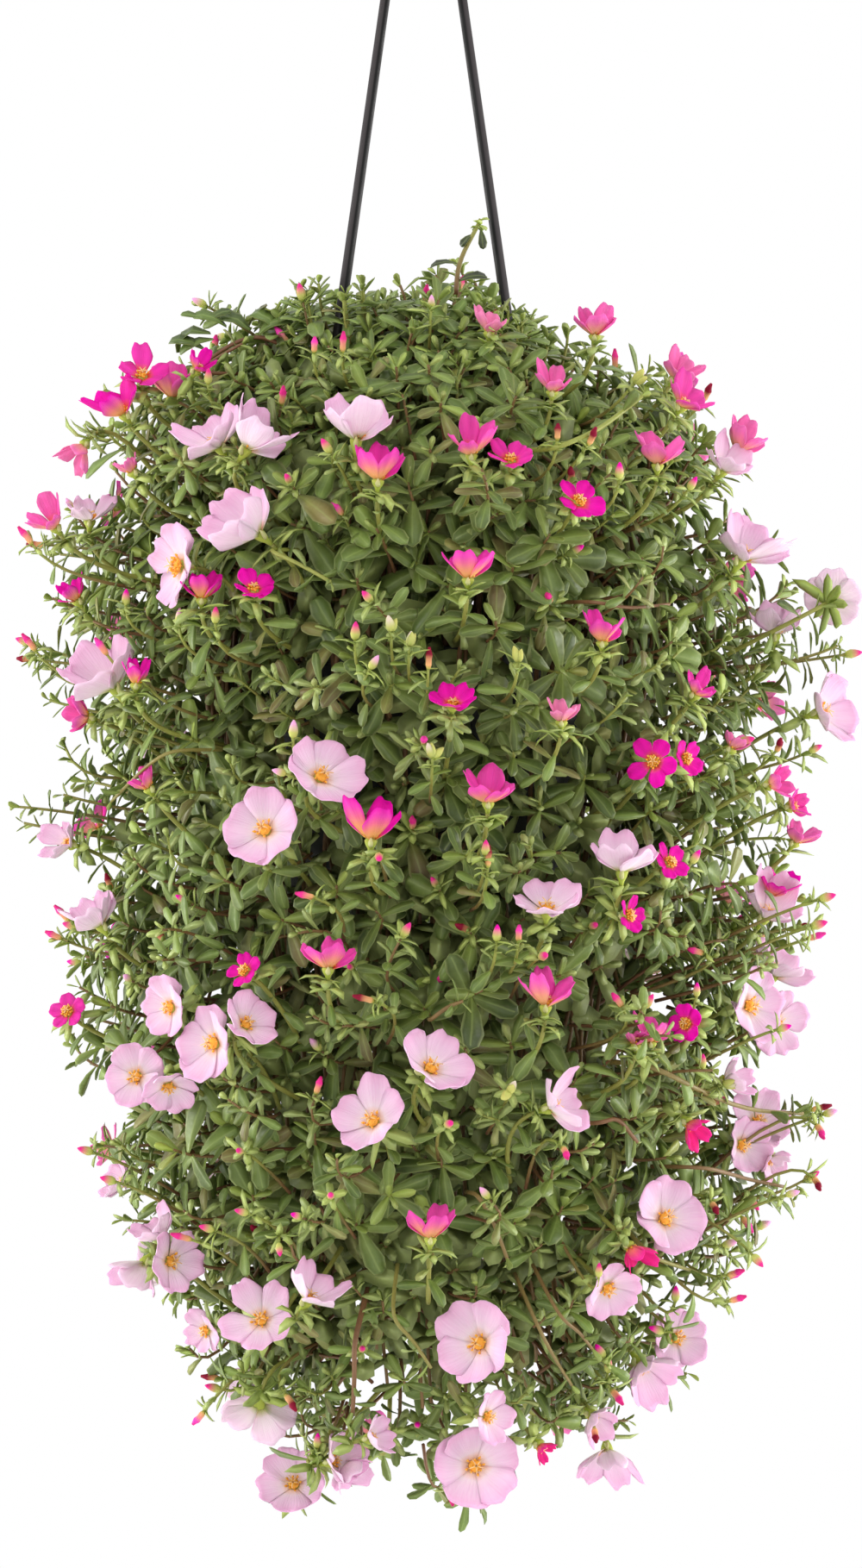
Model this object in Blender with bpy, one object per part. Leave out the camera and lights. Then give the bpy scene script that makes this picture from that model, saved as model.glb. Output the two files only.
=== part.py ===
"""A hanging basket of moss rose: a trailing plant in a round plastic pot.

The pot hangs on four strands that meet under one hook. Metres, +Z up, -Y is the front.
The origin is the inner crown of the hook, where the basket hangs.
"""

import math
import random
from collections import namedtuple

import bmesh
import bpy
from mathutils import Vector

# Picture scale: one pixel of the front view is half a millimetre
METRES_PER_PIXEL = 0.0005
PICTURE_MIDDLE_COLUMN = 491.5
PICTURE_HOOK_ROW = -380.0

# Hook and hub
HOOK_WIRE_RADIUS = 0.0028
HOOK_INNER_RADIUS = 0.016
HUB_RADIUS = 0.0135
HUB_TOP_Z = -0.064
HUB_HEIGHT = 0.014

# Strands
STRAND_RADIUS = 0.0020
STRAND_TOP_R = 0.0076
STRAND_SLOPE = 0.2
STRAND_AZIMUTHS = (45, 135, 225, 315)
SOCKET_DEPTH = 0.009
BUTTON_RADIUS = 0.0044
BUTTON_HEIGHT = 0.003

# Pot
RIM_Z = -0.565
RIM_RADIUS = 0.1165
POT_HEIGHT = 0.140
POT_BASE_Z = RIM_Z - POT_HEIGHT
WALL_TOP_RADIUS = 0.102
WALL_BASE_RADIUS = 0.0785
WALL_THICKNESS = 0.0018
FLOOR_THICKNESS = 0.002
FLOOR_LIFT = 0.0015
FLANGE_THICKNESS = 0.003
SKIRT_DEPTH = 0.010
STRAND_HOLE_RADIUS = 0.0032
DRAIN_HOLE_RADIUS = 0.005
DRAIN_CIRCLE_RADIUS = 0.050
POT_SIDES = 20

# Soil
SOIL_Z = RIM_Z - 0.015
SOIL_CROWN = 0.003
STEM_DEPTH = 0.022
STEM_HOLE_RADIUS = 0.0044

# Gaps between neighbours
GAP = 0.0003
LEAF_CLEARANCE = 0.0009
STRAND_CLEARANCE = 0.0034
BLOOM_CLEARANCE = 0.0022

# Plant: outer radius of the leafy bush at each height
BUSH_OUTLINE = (
    (-0.345, 0.040),
    (-0.360, 0.085),
    (-0.375, 0.112),
    (-0.390, 0.135),
    (-0.410, 0.165),
    (-0.430, 0.184),
    (-0.455, 0.198),
    (-0.500, 0.208),
    (-0.570, 0.214),
    (-0.810, 0.213),
    (-0.830, 0.206),
    (-0.890, 0.190),
    (-0.950, 0.172),
    (-0.990, 0.140),
    (-1.030, 0.112),
    (-1.070, 0.070),
)
# Height and reach of the crown's dense middle
CROWN_STEPS = (
    (SOIL_Z + 0.045, 0.036),
    (-0.500, 0.060),
    (-0.455, 0.050),
    (-0.415, 0.056),
    (-0.392, 0.026),
)
SPRAYS = 16
SPRAY_HALF_ANGLE = math.pi / SPRAYS
SPRAY_STEM_R = 0.086
SPRAY_INNER_R = 0.094
CROWN_STEM_R = 0.045
CROWN_OUTER_R = 0.091
POT_CLEAR_R = 0.1235
STEM_RADIUS = 0.003
SHOOT_RADIUS = 0.0014
LEAF_LENGTH = 0.048
LEAF_HALF_WIDTH = 0.29
LEAF_HALF_THICKNESS = 0.0015
LEAVES_PER_SHOOT = 5
GOLDEN_TURN = math.radians(137.5)
ROOT_DROPS = (0.012, 0.0, 0.030, -0.015, 0.045, -0.030, -0.050, 0.060)
FACE_CLEARANCE = 0.006
BLOOM_BACK = 0.0020
LEAST_DEPTH = 0.022
LEAST_LEAN = 0.30
PETAL_STEPS = ((0.0, 0.80), (0.25, 0.99), (0.75, 1.0))
SMALL_PETAL_STEPS = ((0.0, 0.72), (0.5, 1.0))
SHOOTS_PER_SPRAY = 6
BLOOMS_PER_SHOOT_LESS = 3
SHOOTS_PER_CROWN = 5
SHOOT_SPACING = 0.84
BLOOM_SPACING = 0.52

# Ends of the sixteen hanging sprays, from the front and round to the right
SPRAY_END_Z = (
    -1.035, -1.020, -0.985, -0.960, -0.950, -0.975, -1.000, -1.025,
    -1.030, -1.005, -0.980, -0.955, -0.950, -0.995, -1.020, -1.030,
)

Bloom = namedtuple("Bloom", "column row width facing")

FACINGS = {
    "front": (0.0, -1.0, 0.2),
    "front_left": (-0.4, -1.0, 0.15),
    "front_right": (0.4, -1.0, 0.2),
    "front_up": (0.05, -0.75, 0.75),
    "front_down": (0.05, -1.0, -0.35),
    "up": (0.05, -0.4, 1.0),
    "up_left": (-0.6, -0.45, 0.85),
    "up_right": (0.6, -0.45, 0.85),
    "left": (-1.0, -0.45, 0.3),
    "right": (1.0, -0.45, 0.3),
    "down": (0.1, -0.45, -1.0),
    "down_left": (-0.6, -0.2, -0.8),
    "down_right": (0.6, -0.4, -0.7),
    "back_right": (0.75, 0.55, 0.3),
}

# Pale pink blooms that are nodes of their own
PALE_BLOOMS = (
    Bloom(247, 507, 76, "up_left"),
    Bloom(297, 513, 78, "up_right"),
    Bloom(415, 497, 80, "up"),
    Bloom(288, 612, 84, "left"),
    Bloom(207, 658, 86, "right"),
    Bloom(122, 782, 88, "up_left"),
    Bloom(382, 892, 88, "front_right"),
    Bloom(303, 955, 88, "front_left"),
    Bloom(720, 993, 76, "up"),
    Bloom(633, 1047, 78, "front_up"),
    Bloom(875, 632, 76, "up_right"),
    Bloom(962, 695, 84, "back_right"),
    Bloom(968, 822, 78, "right"),
    Bloom(190, 1167, 68, "front_left"),
    Bloom(238, 1207, 86, "front_left"),
    Bloom(294, 1178, 68, "front_right"),
    Bloom(155, 1247, 68, "front"),
    Bloom(507, 1225, 88, "front_right"),
    Bloom(427, 1288, 88, "front_left"),
    Bloom(650, 1277, 72, "right"),
    Bloom(885, 1178, 92, "right"),
    Bloom(884, 1300, 66, "right"),
    Bloom(780, 1407, 94, "front_right"),
    Bloom(710, 1498, 70, "front_right"),
    Bloom(797, 1555, 74, "front_right"),
    Bloom(547, 1553, 96, "front"),
    Bloom(303, 1523, 84, "front"),
    Bloom(208, 1460, 74, "left"),
    Bloom(300, 1635, 84, "down_left"),
    Bloom(340, 1718, 74, "front_left"),
    Bloom(548, 1698, 90, "front"),
    Bloom(707, 1700, 74, "down"),
)

# Smaller blooms of both colours that are fused to their stems
SMALL_BLOOMS = (
    Bloom(905, 722, 62, "right"),
    Bloom(198, 1266, 60, "front_down"),
    Bloom(862, 1330, 62, "right"),
    Bloom(752, 1592, 68, "down_right"),
    Bloom(362, 1495, 66, "up_right"),
    Bloom(158, 1480, 62, "left"),
    Bloom(395, 1690, 60, "right"),
    Bloom(572, 1640, 64, "front_up"),
    Bloom(103, 590, 56, "up"),
    Bloom(110, 1063, 60, "up_left"),
    Bloom(70, 977, 44, "left"),
    Bloom(845, 535, 58, "up_right"),
    Bloom(897, 1050, 64, "right"),
    Bloom(232, 1545, 44, "down"),
    Bloom(137, 1370, 42, "left"),
    Bloom(165, 425, 54, "up_left"),
    Bloom(200, 447, 52, "up"),
    Bloom(140, 467, 50, "up_left"),
    Bloom(90, 526, 46, "down_left"),
    Bloom(58, 602, 48, "up_left"),
    Bloom(82, 687, 42, "up_left"),
    Bloom(237, 685, 46, "up"),
    Bloom(297, 683, 46, "front_up"),
    Bloom(440, 548, 64, "up"),
    Bloom(547, 520, 56, "up"),
    Bloom(592, 534, 52, "front_up"),
    Bloom(543, 662, 60, "up"),
    Bloom(672, 582, 56, "front_left"),
    Bloom(640, 447, 42, "up"),
    Bloom(690, 378, 48, "up"),
    Bloom(568, 378, 38, "up"),
    Bloom(790, 430, 48, "up_right"),
    Bloom(797, 462, 56, "up_right"),
    Bloom(762, 528, 60, "up"),
    Bloom(862, 503, 54, "up_right"),
    Bloom(697, 735, 46, "up"),
    Bloom(525, 815, 52, "front_up"),
    Bloom(810, 798, 38, "up_right"),
    Bloom(650, 828, 40, "up"),
    Bloom(92, 832, 42, "left"),
    Bloom(170, 908, 34, "up_left"),
    Bloom(432, 958, 76, "front_up"),
    Bloom(566, 918, 60, "up"),
    Bloom(757, 883, 62, "front"),
    Bloom(900, 912, 50, "right"),
    Bloom(930, 968, 42, "up_right"),
    Bloom(780, 1000, 44, "front_left"),
    Bloom(729, 1060, 44, "front_right"),
    Bloom(383, 1107, 64, "up"),
    Bloom(284, 1122, 46, "front_left"),
    Bloom(632, 1150, 66, "up"),
    Bloom(77, 1172, 46, "left"),
    Bloom(755, 1198, 42, "up"),
    Bloom(790, 1185, 44, "right"),
    Bloom(500, 1418, 60, "up"),
    Bloom(735, 1450, 36, "up_right"),
    Bloom(803, 1308, 36, "right"),
    Bloom(628, 1682, 30, "down"),
)

# Lone leafy tips that stand out of the bush, as seen from the front
Tip = namedtuple("Tip", "column row depth")
LONE_TIPS = (
    Tip(553, 268, -0.047),
    Tip(24, 955, -0.010),
    Tip(44, 758, 0.030),
    Tip(243, 372, -0.030),
    Tip(890, 530, 0.020),
    Tip(985, 758, 0.010),
    Tip(940, 872, -0.040),
    Tip(950, 1297, 0.015),
    Tip(940, 1372, -0.030),
    Tip(70, 1090, -0.040),
    Tip(120, 1335, 0.010),
    Tip(250, 1602, -0.020),
    Tip(150, 1010, 0.060),
    Tip(845, 1490, 0.020),
)
BACK_BLOOMS = 12
BACK_SEED = 11
LONE_LEAF_SHARE = 0.75
LONE_TURN = 0.4
LONE_LIFT = 0.3

PALE_PINK = (0.79, 0.42, 0.68)
LEAF_GREEN = (0.10, 0.19, 0.06)
POT_GREY = (0.030, 0.032, 0.035)
STRAND_BLACK = (0.018, 0.018, 0.020)
SOIL_BROWN = (0.045, 0.028, 0.018)


def clear_scene():
    for old in list(bpy.data.objects):
        bpy.data.objects.remove(old, do_unlink=True)


def material(name, colour, roughness):
    made = bpy.data.materials.new(name)
    made.use_nodes = True
    shader = made.node_tree.nodes["Principled BSDF"]
    shader.inputs["Base Color"].default_value = (*colour, 1.0)
    shader.inputs["Roughness"].default_value = roughness
    shader.inputs["Metallic"].default_value = 0.0
    return made


def solid(name, points, faces):
    """One object from points and faces, with its faces turned outward."""
    mesh = bpy.data.meshes.new(name)
    mesh.from_pydata([tuple(p) for p in points], [], faces)
    shell = bmesh.new()
    shell.from_mesh(mesh)
    bmesh.ops.recalc_face_normals(shell, faces=shell.faces)
    shell.to_mesh(mesh)
    shell.free()
    made = bpy.data.objects.new(name, mesh)
    bpy.context.scene.collection.objects.link(made)
    return made


def loft(name, rings):
    """A closed body through rings of the same number of points."""
    sides = len(rings[0])
    points = [p for ring in rings for p in ring]
    faces = []
    for level in range(len(rings) - 1):
        for i in range(sides):
            j = (i + 1) % sides
            low = level * sides
            high = low + sides
            faces.append((low + i, low + j, high + j, high + i))
    faces.append(tuple(range(sides - 1, -1, -1)))
    faces.append(tuple(range(len(points) - sides, len(points))))
    return solid(name, points, faces)


def lathe(name, profile, sides):
    """A body turned round Z from a profile whose first and last points lie on the axis."""
    points = [(0.0, 0.0, profile[0][1])]
    for radius, z in profile[1:-1]:
        for i in range(sides):
            turn = math.tau * i / sides
            points.append((radius * math.sin(turn), -radius * math.cos(turn), z))
    points.append((0.0, 0.0, profile[-1][1]))
    rings = len(profile) - 2
    last = len(points) - 1
    faces = []
    for i in range(sides):
        j = (i + 1) % sides
        faces.append((0, 1 + j, 1 + i))
        for ring in range(rings - 1):
            low = 1 + ring * sides
            high = low + sides
            faces.append((low + i, low + j, high + j, high + i))
        top = 1 + (rings - 1) * sides
        faces.append((top + i, top + j, last))
    return solid(name, points, faces)


def disc_ring(centre, across, along, radius, sides):
    """Points round a centre, in the plane of two unit vectors."""
    ring = []
    for i in range(sides):
        turn = math.tau * (i + 0.5) / sides
        ring.append(centre + radius * (math.cos(turn) * across + math.sin(turn) * along))
    return ring


def two_across(direction):
    """Two unit vectors square to a direction."""
    guide = Vector((0, 0, 1)) if abs(direction.z) < 0.9 else Vector((1, 0, 0))
    first = direction.cross(guide).normalized()
    return first, direction.cross(first).normalized()


def rod(name, start, end, start_radius, end_radius, sides):
    """A straight tapered bar between two points."""
    first, second = two_across((end - start).normalized())
    low = disc_ring(start, first, second, start_radius, sides)
    high = disc_ring(end, first, second, end_radius, sides)
    return loft(name, [low, high])


def tube(name, path, radius, sides):
    """A bar of even thickness along a path in the XZ plane."""
    rings = []
    for i, point in enumerate(path):
        before = path[max(i - 1, 0)]
        after = path[min(i + 1, len(path) - 1)]
        along = (after - before).normalized()
        out = along.cross(Vector((0, 1, 0))).normalized()
        rings.append(disc_ring(point, out, Vector((0, 1, 0)), radius, sides))
    return loft(name, rings)


def boolean(base, tools, operation, solver="EXACT"):
    """Joins or cuts the base with a list of objects, which are then removed."""
    group = bpy.data.collections.new("tools")
    for tool in tools:
        group.objects.link(tool)
    step = base.modifiers.new(operation.lower(), "BOOLEAN")
    step.operation = operation
    step.solver = solver
    step.operand_type = "COLLECTION"
    step.collection = group
    graph = bpy.context.evaluated_depsgraph_get()
    result = bpy.data.meshes.new_from_object(base.evaluated_get(graph))
    base.modifiers.clear()
    base.data = result
    for tool in tools:
        bpy.data.objects.remove(tool, do_unlink=True)
    bpy.data.collections.remove(group)
    return base


def keep_largest(thing):
    """Drops loose scraps and the skins of sealed hollows that a union left behind."""
    shell = bmesh.new()
    shell.from_mesh(thing.data)
    bmesh.ops.triangulate(shell, faces=shell.faces)
    left = set(shell.faces)
    parts = []
    while left:
        front = [left.pop()]
        part = list(front)
        while front:
            for edge in front.pop().edges:
                for face in edge.link_faces:
                    if face in left:
                        left.discard(face)
                        part.append(face)
                        front.append(face)
        parts.append(part)
    parts.sort(key=len)
    scraps = [face for part in parts[:-1] for face in part]
    bmesh.ops.delete(shell, geom=scraps, context="FACES")
    shell.to_mesh(thing.data)
    shell.free()


def finish_object(thing, name, surface, smooth):
    thing.name = name
    thing.data.name = name
    thing.data.materials.clear()
    thing.data.materials.append(surface)
    if smooth:
        thing.data.shade_smooth()
        thing.data.set_sharp_from_angle(angle=math.radians(35))
    return thing


def bush_radius(z):
    """Outer radius of the bush at a height."""
    if z >= BUSH_OUTLINE[0][0]:
        return BUSH_OUTLINE[0][1]
    for (high, outer), (low, inner) in zip(BUSH_OUTLINE, BUSH_OUTLINE[1:]):
        if z >= low:
            share = (high - z) / (high - low)
            return outer + (inner - outer) * share
    return BUSH_OUTLINE[-1][1]


def picture_place(column, row, depth=None):
    """A point of the front view, on the bush's near side unless a depth is given."""
    x = (column - PICTURE_MIDDLE_COLUMN) * METRES_PER_PIXEL
    z = (PICTURE_HOOK_ROW - row) * METRES_PER_PIXEL
    if depth is None:
        reach = bush_radius(z) * 0.97
        depth = -math.sqrt(max(reach * reach - x * x, LEAST_DEPTH * LEAST_DEPTH))
    return Vector((x, depth, z))


class Clump:
    """One leafy node: a hanging spray beyond the strands' circle, or a quarter of the crown inside it."""

    def __init__(self, name, azimuth, crown, end_z):
        self.name = name
        self.crown = crown
        self.end_z = end_z
        self.out = Vector((math.sin(azimuth), -math.cos(azimuth), 0))
        self.side = Vector((math.cos(azimuth), math.sin(azimuth), 0))
        self.slope = 1.0 if crown else math.tan(SPRAY_HALF_ANGLE)
        self.pieces = []
        self.blooms = []
        self.shoots = []

    def world(self, u, v, z):
        return self.out * u + self.side * v + Vector((0, 0, z))

    def clearance(self, z):
        return STRAND_CLEARANCE if z > RIM_Z - 0.012 else LEAF_CLEARANCE

    def holds(self, point):
        """True where a point is inside this clump's own space."""
        u = point.dot(self.out)
        v = point.dot(self.side)
        spare = self.clearance(point.z) * math.hypot(1.0, self.slope)
        if abs(v) > u * self.slope - spare:
            return False
        radius = math.hypot(u, v)
        if self.crown:
            return radius < CROWN_OUTER_R and point.z > SOIL_Z + 0.008
        if point.z > POT_BASE_Z - 0.012 and point.z < RIM_Z + 0.008:
            return radius > POT_CLEAR_R
        return radius > SPRAY_INNER_R if point.z > RIM_Z else radius > 0.020

    def width_at(self, u, z):
        """Half the width that the clump may have at a radius."""
        return u * self.slope - self.clearance(z) * math.hypot(1.0, self.slope) - 0.0006


def spray_path(end_z):
    """Radius, height and half thickness along a hanging spray, from its root to its end."""
    path = [
        (SPRAY_STEM_R, SOIL_Z - STEM_DEPTH, STEM_RADIUS),
        (SPRAY_STEM_R, SOIL_Z + 0.030, STEM_RADIUS),
        (0.097, RIM_Z + 0.080, STEM_RADIUS),
        (0.112, -0.462, 0.010),
        (0.132, -0.454, 0.013),
        (0.148, -0.482, 0.011),
        (0.151, -0.530, 0.014),
    ]
    z = -0.595
    while z > end_z + 0.07:
        swell = 0.014 if len(path) % 2 else 0.010
        path.append((min(0.150, bush_radius(z) - 0.052), z, swell))
        z -= 0.105
    path.append((bush_radius(end_z) * 0.55, end_z + 0.020, 0.008))
    path.append((bush_radius(end_z) * 0.50, end_z, 0.003))
    return path


def spray_core(clump):
    """The stem and the dense middle of a spray, as one body with six sides."""
    path = spray_path(clump.end_z)
    rings = []
    for i, (u, z, thick) in enumerate(path):
        before = path[max(i - 1, 0)]
        after = path[min(i + 1, len(path) - 1)]
        along = Vector((after[0] - before[0], after[1] - before[1]))
        along.normalize()
        outward = Vector((-along.y, along.x))
        wide = thick if thick <= STEM_RADIUS else min(clump.width_at(u, z) * 0.85, thick * 1.35)
        ring = []
        for share, spread in ((1, -0.55), (1, 0.55), (0, 1), (-1, 0.5), (-1, -0.5), (0, -1)):
            off = outward * (thick * share)
            ring.append(clump.world(u + off.x, wide * spread, z + off.y))
        rings.append(ring)
    return loft(clump.name, rings)


def crown_core(clump):
    """The stem and the dense middle of a quarter of the crown, as one body with six sides."""
    stem = [(1, -0.55), (1, 0.55), (0, 1), (-1, 0.5), (-1, -0.5), (0, -1)]
    wedge = [(1.0, -0.36), (1.0, 0.36), (0.80, 0.66), (0.26, 0.09), (0.26, -0.09), (0.80, -0.66)]
    rings = []
    for z in (SOIL_Z - STEM_DEPTH, SOIL_Z + 0.020):
        ring = [clump.world(CROWN_STEM_R + STEM_RADIUS * a, STEM_RADIUS * b, z) for a, b in stem]
        rings.append(ring)
    for z, reach in CROWN_STEPS:
        rings.append([clump.world(reach * a + 0.006, reach * b, z) for a, b in wedge])
    return loft(clump.name, rings)


def root_for(clump, target, drop=0.012):
    """A point on the middle of the clump's core from which a stalk reaches the target."""
    if clump.crown:
        height = min(max(target.z - 0.018 - drop, SOIL_Z + 0.055), -0.402)
        return clump.world(0.036, 0.0, height)
    height = max(target.z - drop, clump.end_z + 0.006)
    if target.z > -0.470:
        reach = math.hypot(target.x, target.y)
        u = min(max(reach * 0.85, 0.113), 0.140)
        return clump.world(min(u, 0.132), 0.0, -0.457)
    path = spray_path(clump.end_z)[5:]
    for low, high in zip(path, path[1:]):
        if low[1] >= height >= high[1]:
            share = (low[1] - height) / (low[1] - high[1])
            return clump.world(low[0] + (high[0] - low[0]) * share, 0.0, height)
    return clump.world(0.146, 0.0, -0.480)


def stalk_rings(path, axis, radius):
    """Three points round each place of a stalk that leaves its bloom or leaves against the axis."""
    heading = axis.copy()
    first, second = two_across(axis)
    rings = []
    for i, place in enumerate(path):
        if i:
            before = (path[i - 1] - place).normalized()
            after = (place - path[i + 1]).normalized() if i + 1 < len(path) else before
            turned = (before + after).normalized()
            bend = heading.rotation_difference(turned)
            heading = turned
            first.rotate(bend)
            second.rotate(bend)
        ring = []
        for corner in range(3):
            turn = math.tau * corner / 3
            ring.append(place + radius * (math.cos(turn) * first + math.sin(turn) * second))
        rings.append(ring)
    return rings


def stalked(name, outline, front, axis, path, radius):
    """A thin body, an outline with one point before it, that narrows behind into a three-sided stalk."""
    first, second = two_across(axis)
    sides = len(outline)
    points = [front, *outline]
    for ring in stalk_rings(path, axis, radius):
        points.extend(ring)
    faces = []
    nearest = []
    for i in range(sides):
        j = (i + 1) % sides
        faces.append((0, 1 + i, 1 + j))
        middle = (outline[i] + outline[j]) / 2 - path[0]
        turn = math.atan2(middle.dot(second), middle.dot(first)) / math.tau * 3
        nearest.append(round(turn) % 3)
        faces.append((1 + j, 1 + i, 1 + sides + nearest[i]))
    for i in range(sides):
        before = nearest[i - 1]
        if before != nearest[i]:
            faces.append((1 + i, 1 + sides + before, 1 + sides + nearest[i]))
    for step in range(len(path) - 1):
        low = 1 + sides + 3 * step
        for i in range(3):
            j = (i + 1) % 3
            faces.append((low + i, low + j, low + 3 + j, low + 3 + i))
    last = len(points) - 3
    faces.append((last, last + 1, last + 2))
    return solid(name, points, faces)


def petal_outline(centre, axis, radius, cup, steps):
    """The rim of a five-petalled bloom; steps give the turn, reach and lift round each petal."""
    first, second = two_across(axis)
    outline = []
    for petal in range(5):
        for turn, reach in steps:
            angle = math.tau * (petal + turn) / 5
            flat = math.cos(angle) * first + math.sin(angle) * second
            outline.append(centre + flat * (radius * reach) + axis * (radius * cup * reach))
    return outline


def large_bloom(name, centre, axis, radius, cup):
    """A bloom with a rim of even thickness, three points to a petal."""
    thick = axis * 0.0009
    rim = petal_outline(centre, axis, radius, cup, PETAL_STEPS)
    sides = len(rim)
    points = [centre + axis * 0.0010, centre - axis * BLOOM_BACK, *rim, *[p - thick for p in rim]]
    faces = []
    for i in range(sides):
        j = (i + 1) % sides
        faces.append((0, 2 + i, 2 + j))
        faces.append((1, 2 + sides + j, 2 + sides + i))
        faces.append((2 + i, 2 + sides + i, 2 + sides + j, 2 + j))
    return solid(name, points, faces)


def cup_of(facing):
    """How deep a bloom's cup is: open ones face the viewer, the others stand in a deeper cup."""
    return 0.30 if facing.startswith("front") else 0.55


Zone = namedtuple("Zone", "base axis radius cup")


class Plant:
    """All clumps and blooms, with the rules that keep them apart."""

    def __init__(self):
        self.sprays = []
        for i, end_z in enumerate(SPRAY_END_Z):
            azimuth = SPRAY_HALF_ANGLE * (2 * i + 1)
            self.sprays.append(Clump(f"spray_{i + 1:02d}", azimuth, False, end_z))
        self.crowns = []
        for name, azimuth in (("front", 0), ("right", 90), ("back", 180), ("left", 270)):
            self.crowns.append(Clump(f"crown_{name}", math.radians(azimuth), True, SOIL_Z))
        self.zones = []

    def clump_at(self, point):
        """The clump whose space a point is in."""
        turn = math.atan2(point.x, -point.y) % math.tau
        if math.hypot(point.x, point.y) > CROWN_OUTER_R + 0.0015 or point.z < RIM_Z:
            return self.sprays[int(turn / (2 * SPRAY_HALF_ANGLE)) % SPRAYS]
        return self.crowns[int((turn + math.pi / 4) / (math.pi / 2)) % 4]

    def free(self, point, own=None, spare=BLOOM_CLEARANCE):
        """True where a point is clear of every bloom node but its own, and not just before its face."""
        for zone in self.zones:
            if zone is own:
                continue
            apart = point - zone.base
            height = apart.dot(zone.axis)
            if height > zone.cup * zone.radius + FACE_CLEARANCE + spare:
                continue
            reach = (apart - zone.axis * height).length
            if reach < zone.radius + spare and height > 0.9 * zone.cup * reach - 0.003 - spare:
                return False
        return True

    def line_free(self, start, end, own=None):
        return all(self.free(start.lerp(end, i / 16), own, 0.0026) for i in range(17))


def facing_axis(facing):
    return Vector(FACINGS[facing]).normalized()


def pale_blooms(plant):
    """The bloom nodes, and the zones that keep the leaves off them."""
    petal = material("pale_petal", PALE_PINK, 0.6)
    made = []
    for number, bloom in enumerate(PALE_BLOOMS, start=1):
        centre = picture_place(bloom.column, bloom.row)
        axis = facing_axis(bloom.facing)
        radius = bloom.width * METRES_PER_PIXEL / 2
        cup = cup_of(bloom.facing)
        base = centre - axis * (radius * 0.25)
        name = f"bloom_pale_{number:02d}"
        zone = Zone(base, axis, radius, cup)
        finish_object(large_bloom(name, base, axis, radius, cup), name, petal, False)
        plant.zones.append(zone)
        made.append((name, zone))
    return made


def stalk_to_bloom(plant, zone):
    """A stalk from the nearest clump to a bloom's back. Returns False if it would meet another bloom."""
    end = zone.base - zone.axis * (BLOOM_BACK + GAP)
    elbow = end - zone.axis * 0.009
    clump = plant.clump_at(elbow)
    if not clump.holds(end):
        return False
    for drop in ROOT_DROPS:
        root = root_for(clump, elbow, drop)
        if not plant.line_free(root, elbow, zone) or not plant.line_free(elbow, end, zone):
            continue
        if not all(clump.holds(root.lerp(elbow, 0.4 + 0.1 * step)) for step in range(7)):
            continue
        clump.pieces.append(loft("stalk", stalk_rings([end, elbow, root], zone.axis, SHOOT_RADIUS)))
        return True
    return False


def turned_off(axis, away):
    """The axis, turned towards another direction until it leans at least a little that way."""
    for share in range(8):
        turned = axis.lerp(away, share / 8).normalized()
        if turned.dot(away) > LEAST_LEAN:
            return turned
    return away


def fuse_small_bloom(plant, place, facing, radius, cup):
    """Adds a bloom on its stalk to the clump there, moved a little where it would leave the clump's space."""
    sideways, upward = two_across(place.normalized())
    inward = -Vector((place.x, place.y, 0)).normalized()
    for shift in range(110):
        reach = 0.0022 * math.sqrt(shift)
        turn = shift * GOLDEN_TURN
        moved = place + inward * (0.3 * reach)
        moved += sideways * (reach * math.cos(turn)) + upward * (reach * math.sin(turn))
        clump = plant.clump_at(moved)
        axis = turned_off(facing, (moved - root_for(clump, moved)).normalized())
        base = moved - axis * (radius * 0.25)
        rim = petal_outline(base, axis, radius, cup, SMALL_PETAL_STEPS)
        if not all(clump.holds(p) and plant.free(p) and plant.free(p.lerp(base, 0.5)) for p in rim):
            continue
        if any((base - other).length < radius * 1.3 for other in clump.blooms):
            continue
        for drop in ROOT_DROPS:
            root = root_for(clump, base, drop)
            elbow = base - axis * 0.009
            if (base - root).normalized().dot(axis) < LEAST_LEAN:
                continue
            if not plant.line_free(root, elbow) or not plant.line_free(elbow, base):
                continue
            if not all(clump.holds(root.lerp(elbow, 0.4 + 0.1 * step)) for step in range(7)):
                continue
            path = [base - axis * 0.0025, elbow, root]
            clump.pieces.append(stalked("bloom", rim, base + axis * 0.0012, axis, path, SHOOT_RADIUS))
            clump.blooms.append(base)
            return True
    return False


def leaf_star(plant, clump, root, centre, length, turn, lift):
    """A shoot with a whorl of leaves round its tip, each as long as its space allows."""
    axis = (centre - root).normalized()
    first, second = two_across(axis)
    outline = []
    for leaf in range(LEAVES_PER_SHOOT):
        middle = turn + math.tau * leaf / LEAVES_PER_SHOOT
        raised = lift * (0.35 + 0.65 * ((leaf * 7) % 3) / 2)
        for share in (1.0, 0.85, 0.7, 0.55, 0.42, 0.3, 0.2):
            long = length * share
            points = []
            for sweep, reach, rise in (
                (-LEAF_HALF_WIDTH, 0.6, 0.8),
                (0.0, 1.0, 1.0),
                (LEAF_HALF_WIDTH, 0.6, 0.8),
            ):
                flat = math.cos(middle) * first + math.sin(middle) * second
                across = math.cos(middle) * second - math.sin(middle) * first
                off = flat * reach + across * sweep + axis * (raised * rise)
                points.append(centre + off * long)
            samples = points + [centre.lerp(points[1], 0.5), centre.lerp(points[1], 0.8)]
            if all(clump.holds(p) and plant.free(p) for p in samples):
                break
        notch = middle - math.pi / LEAVES_PER_SHOOT
        outline.append(centre + (math.cos(notch) * first + math.sin(notch) * second) * 0.0032)
        outline.extend(points)
    path = [centre - axis * LEAF_HALF_THICKNESS, root]
    return stalked("leaves", outline, centre + axis * LEAF_HALF_THICKNESS, axis, path, SHOOT_RADIUS)


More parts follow.
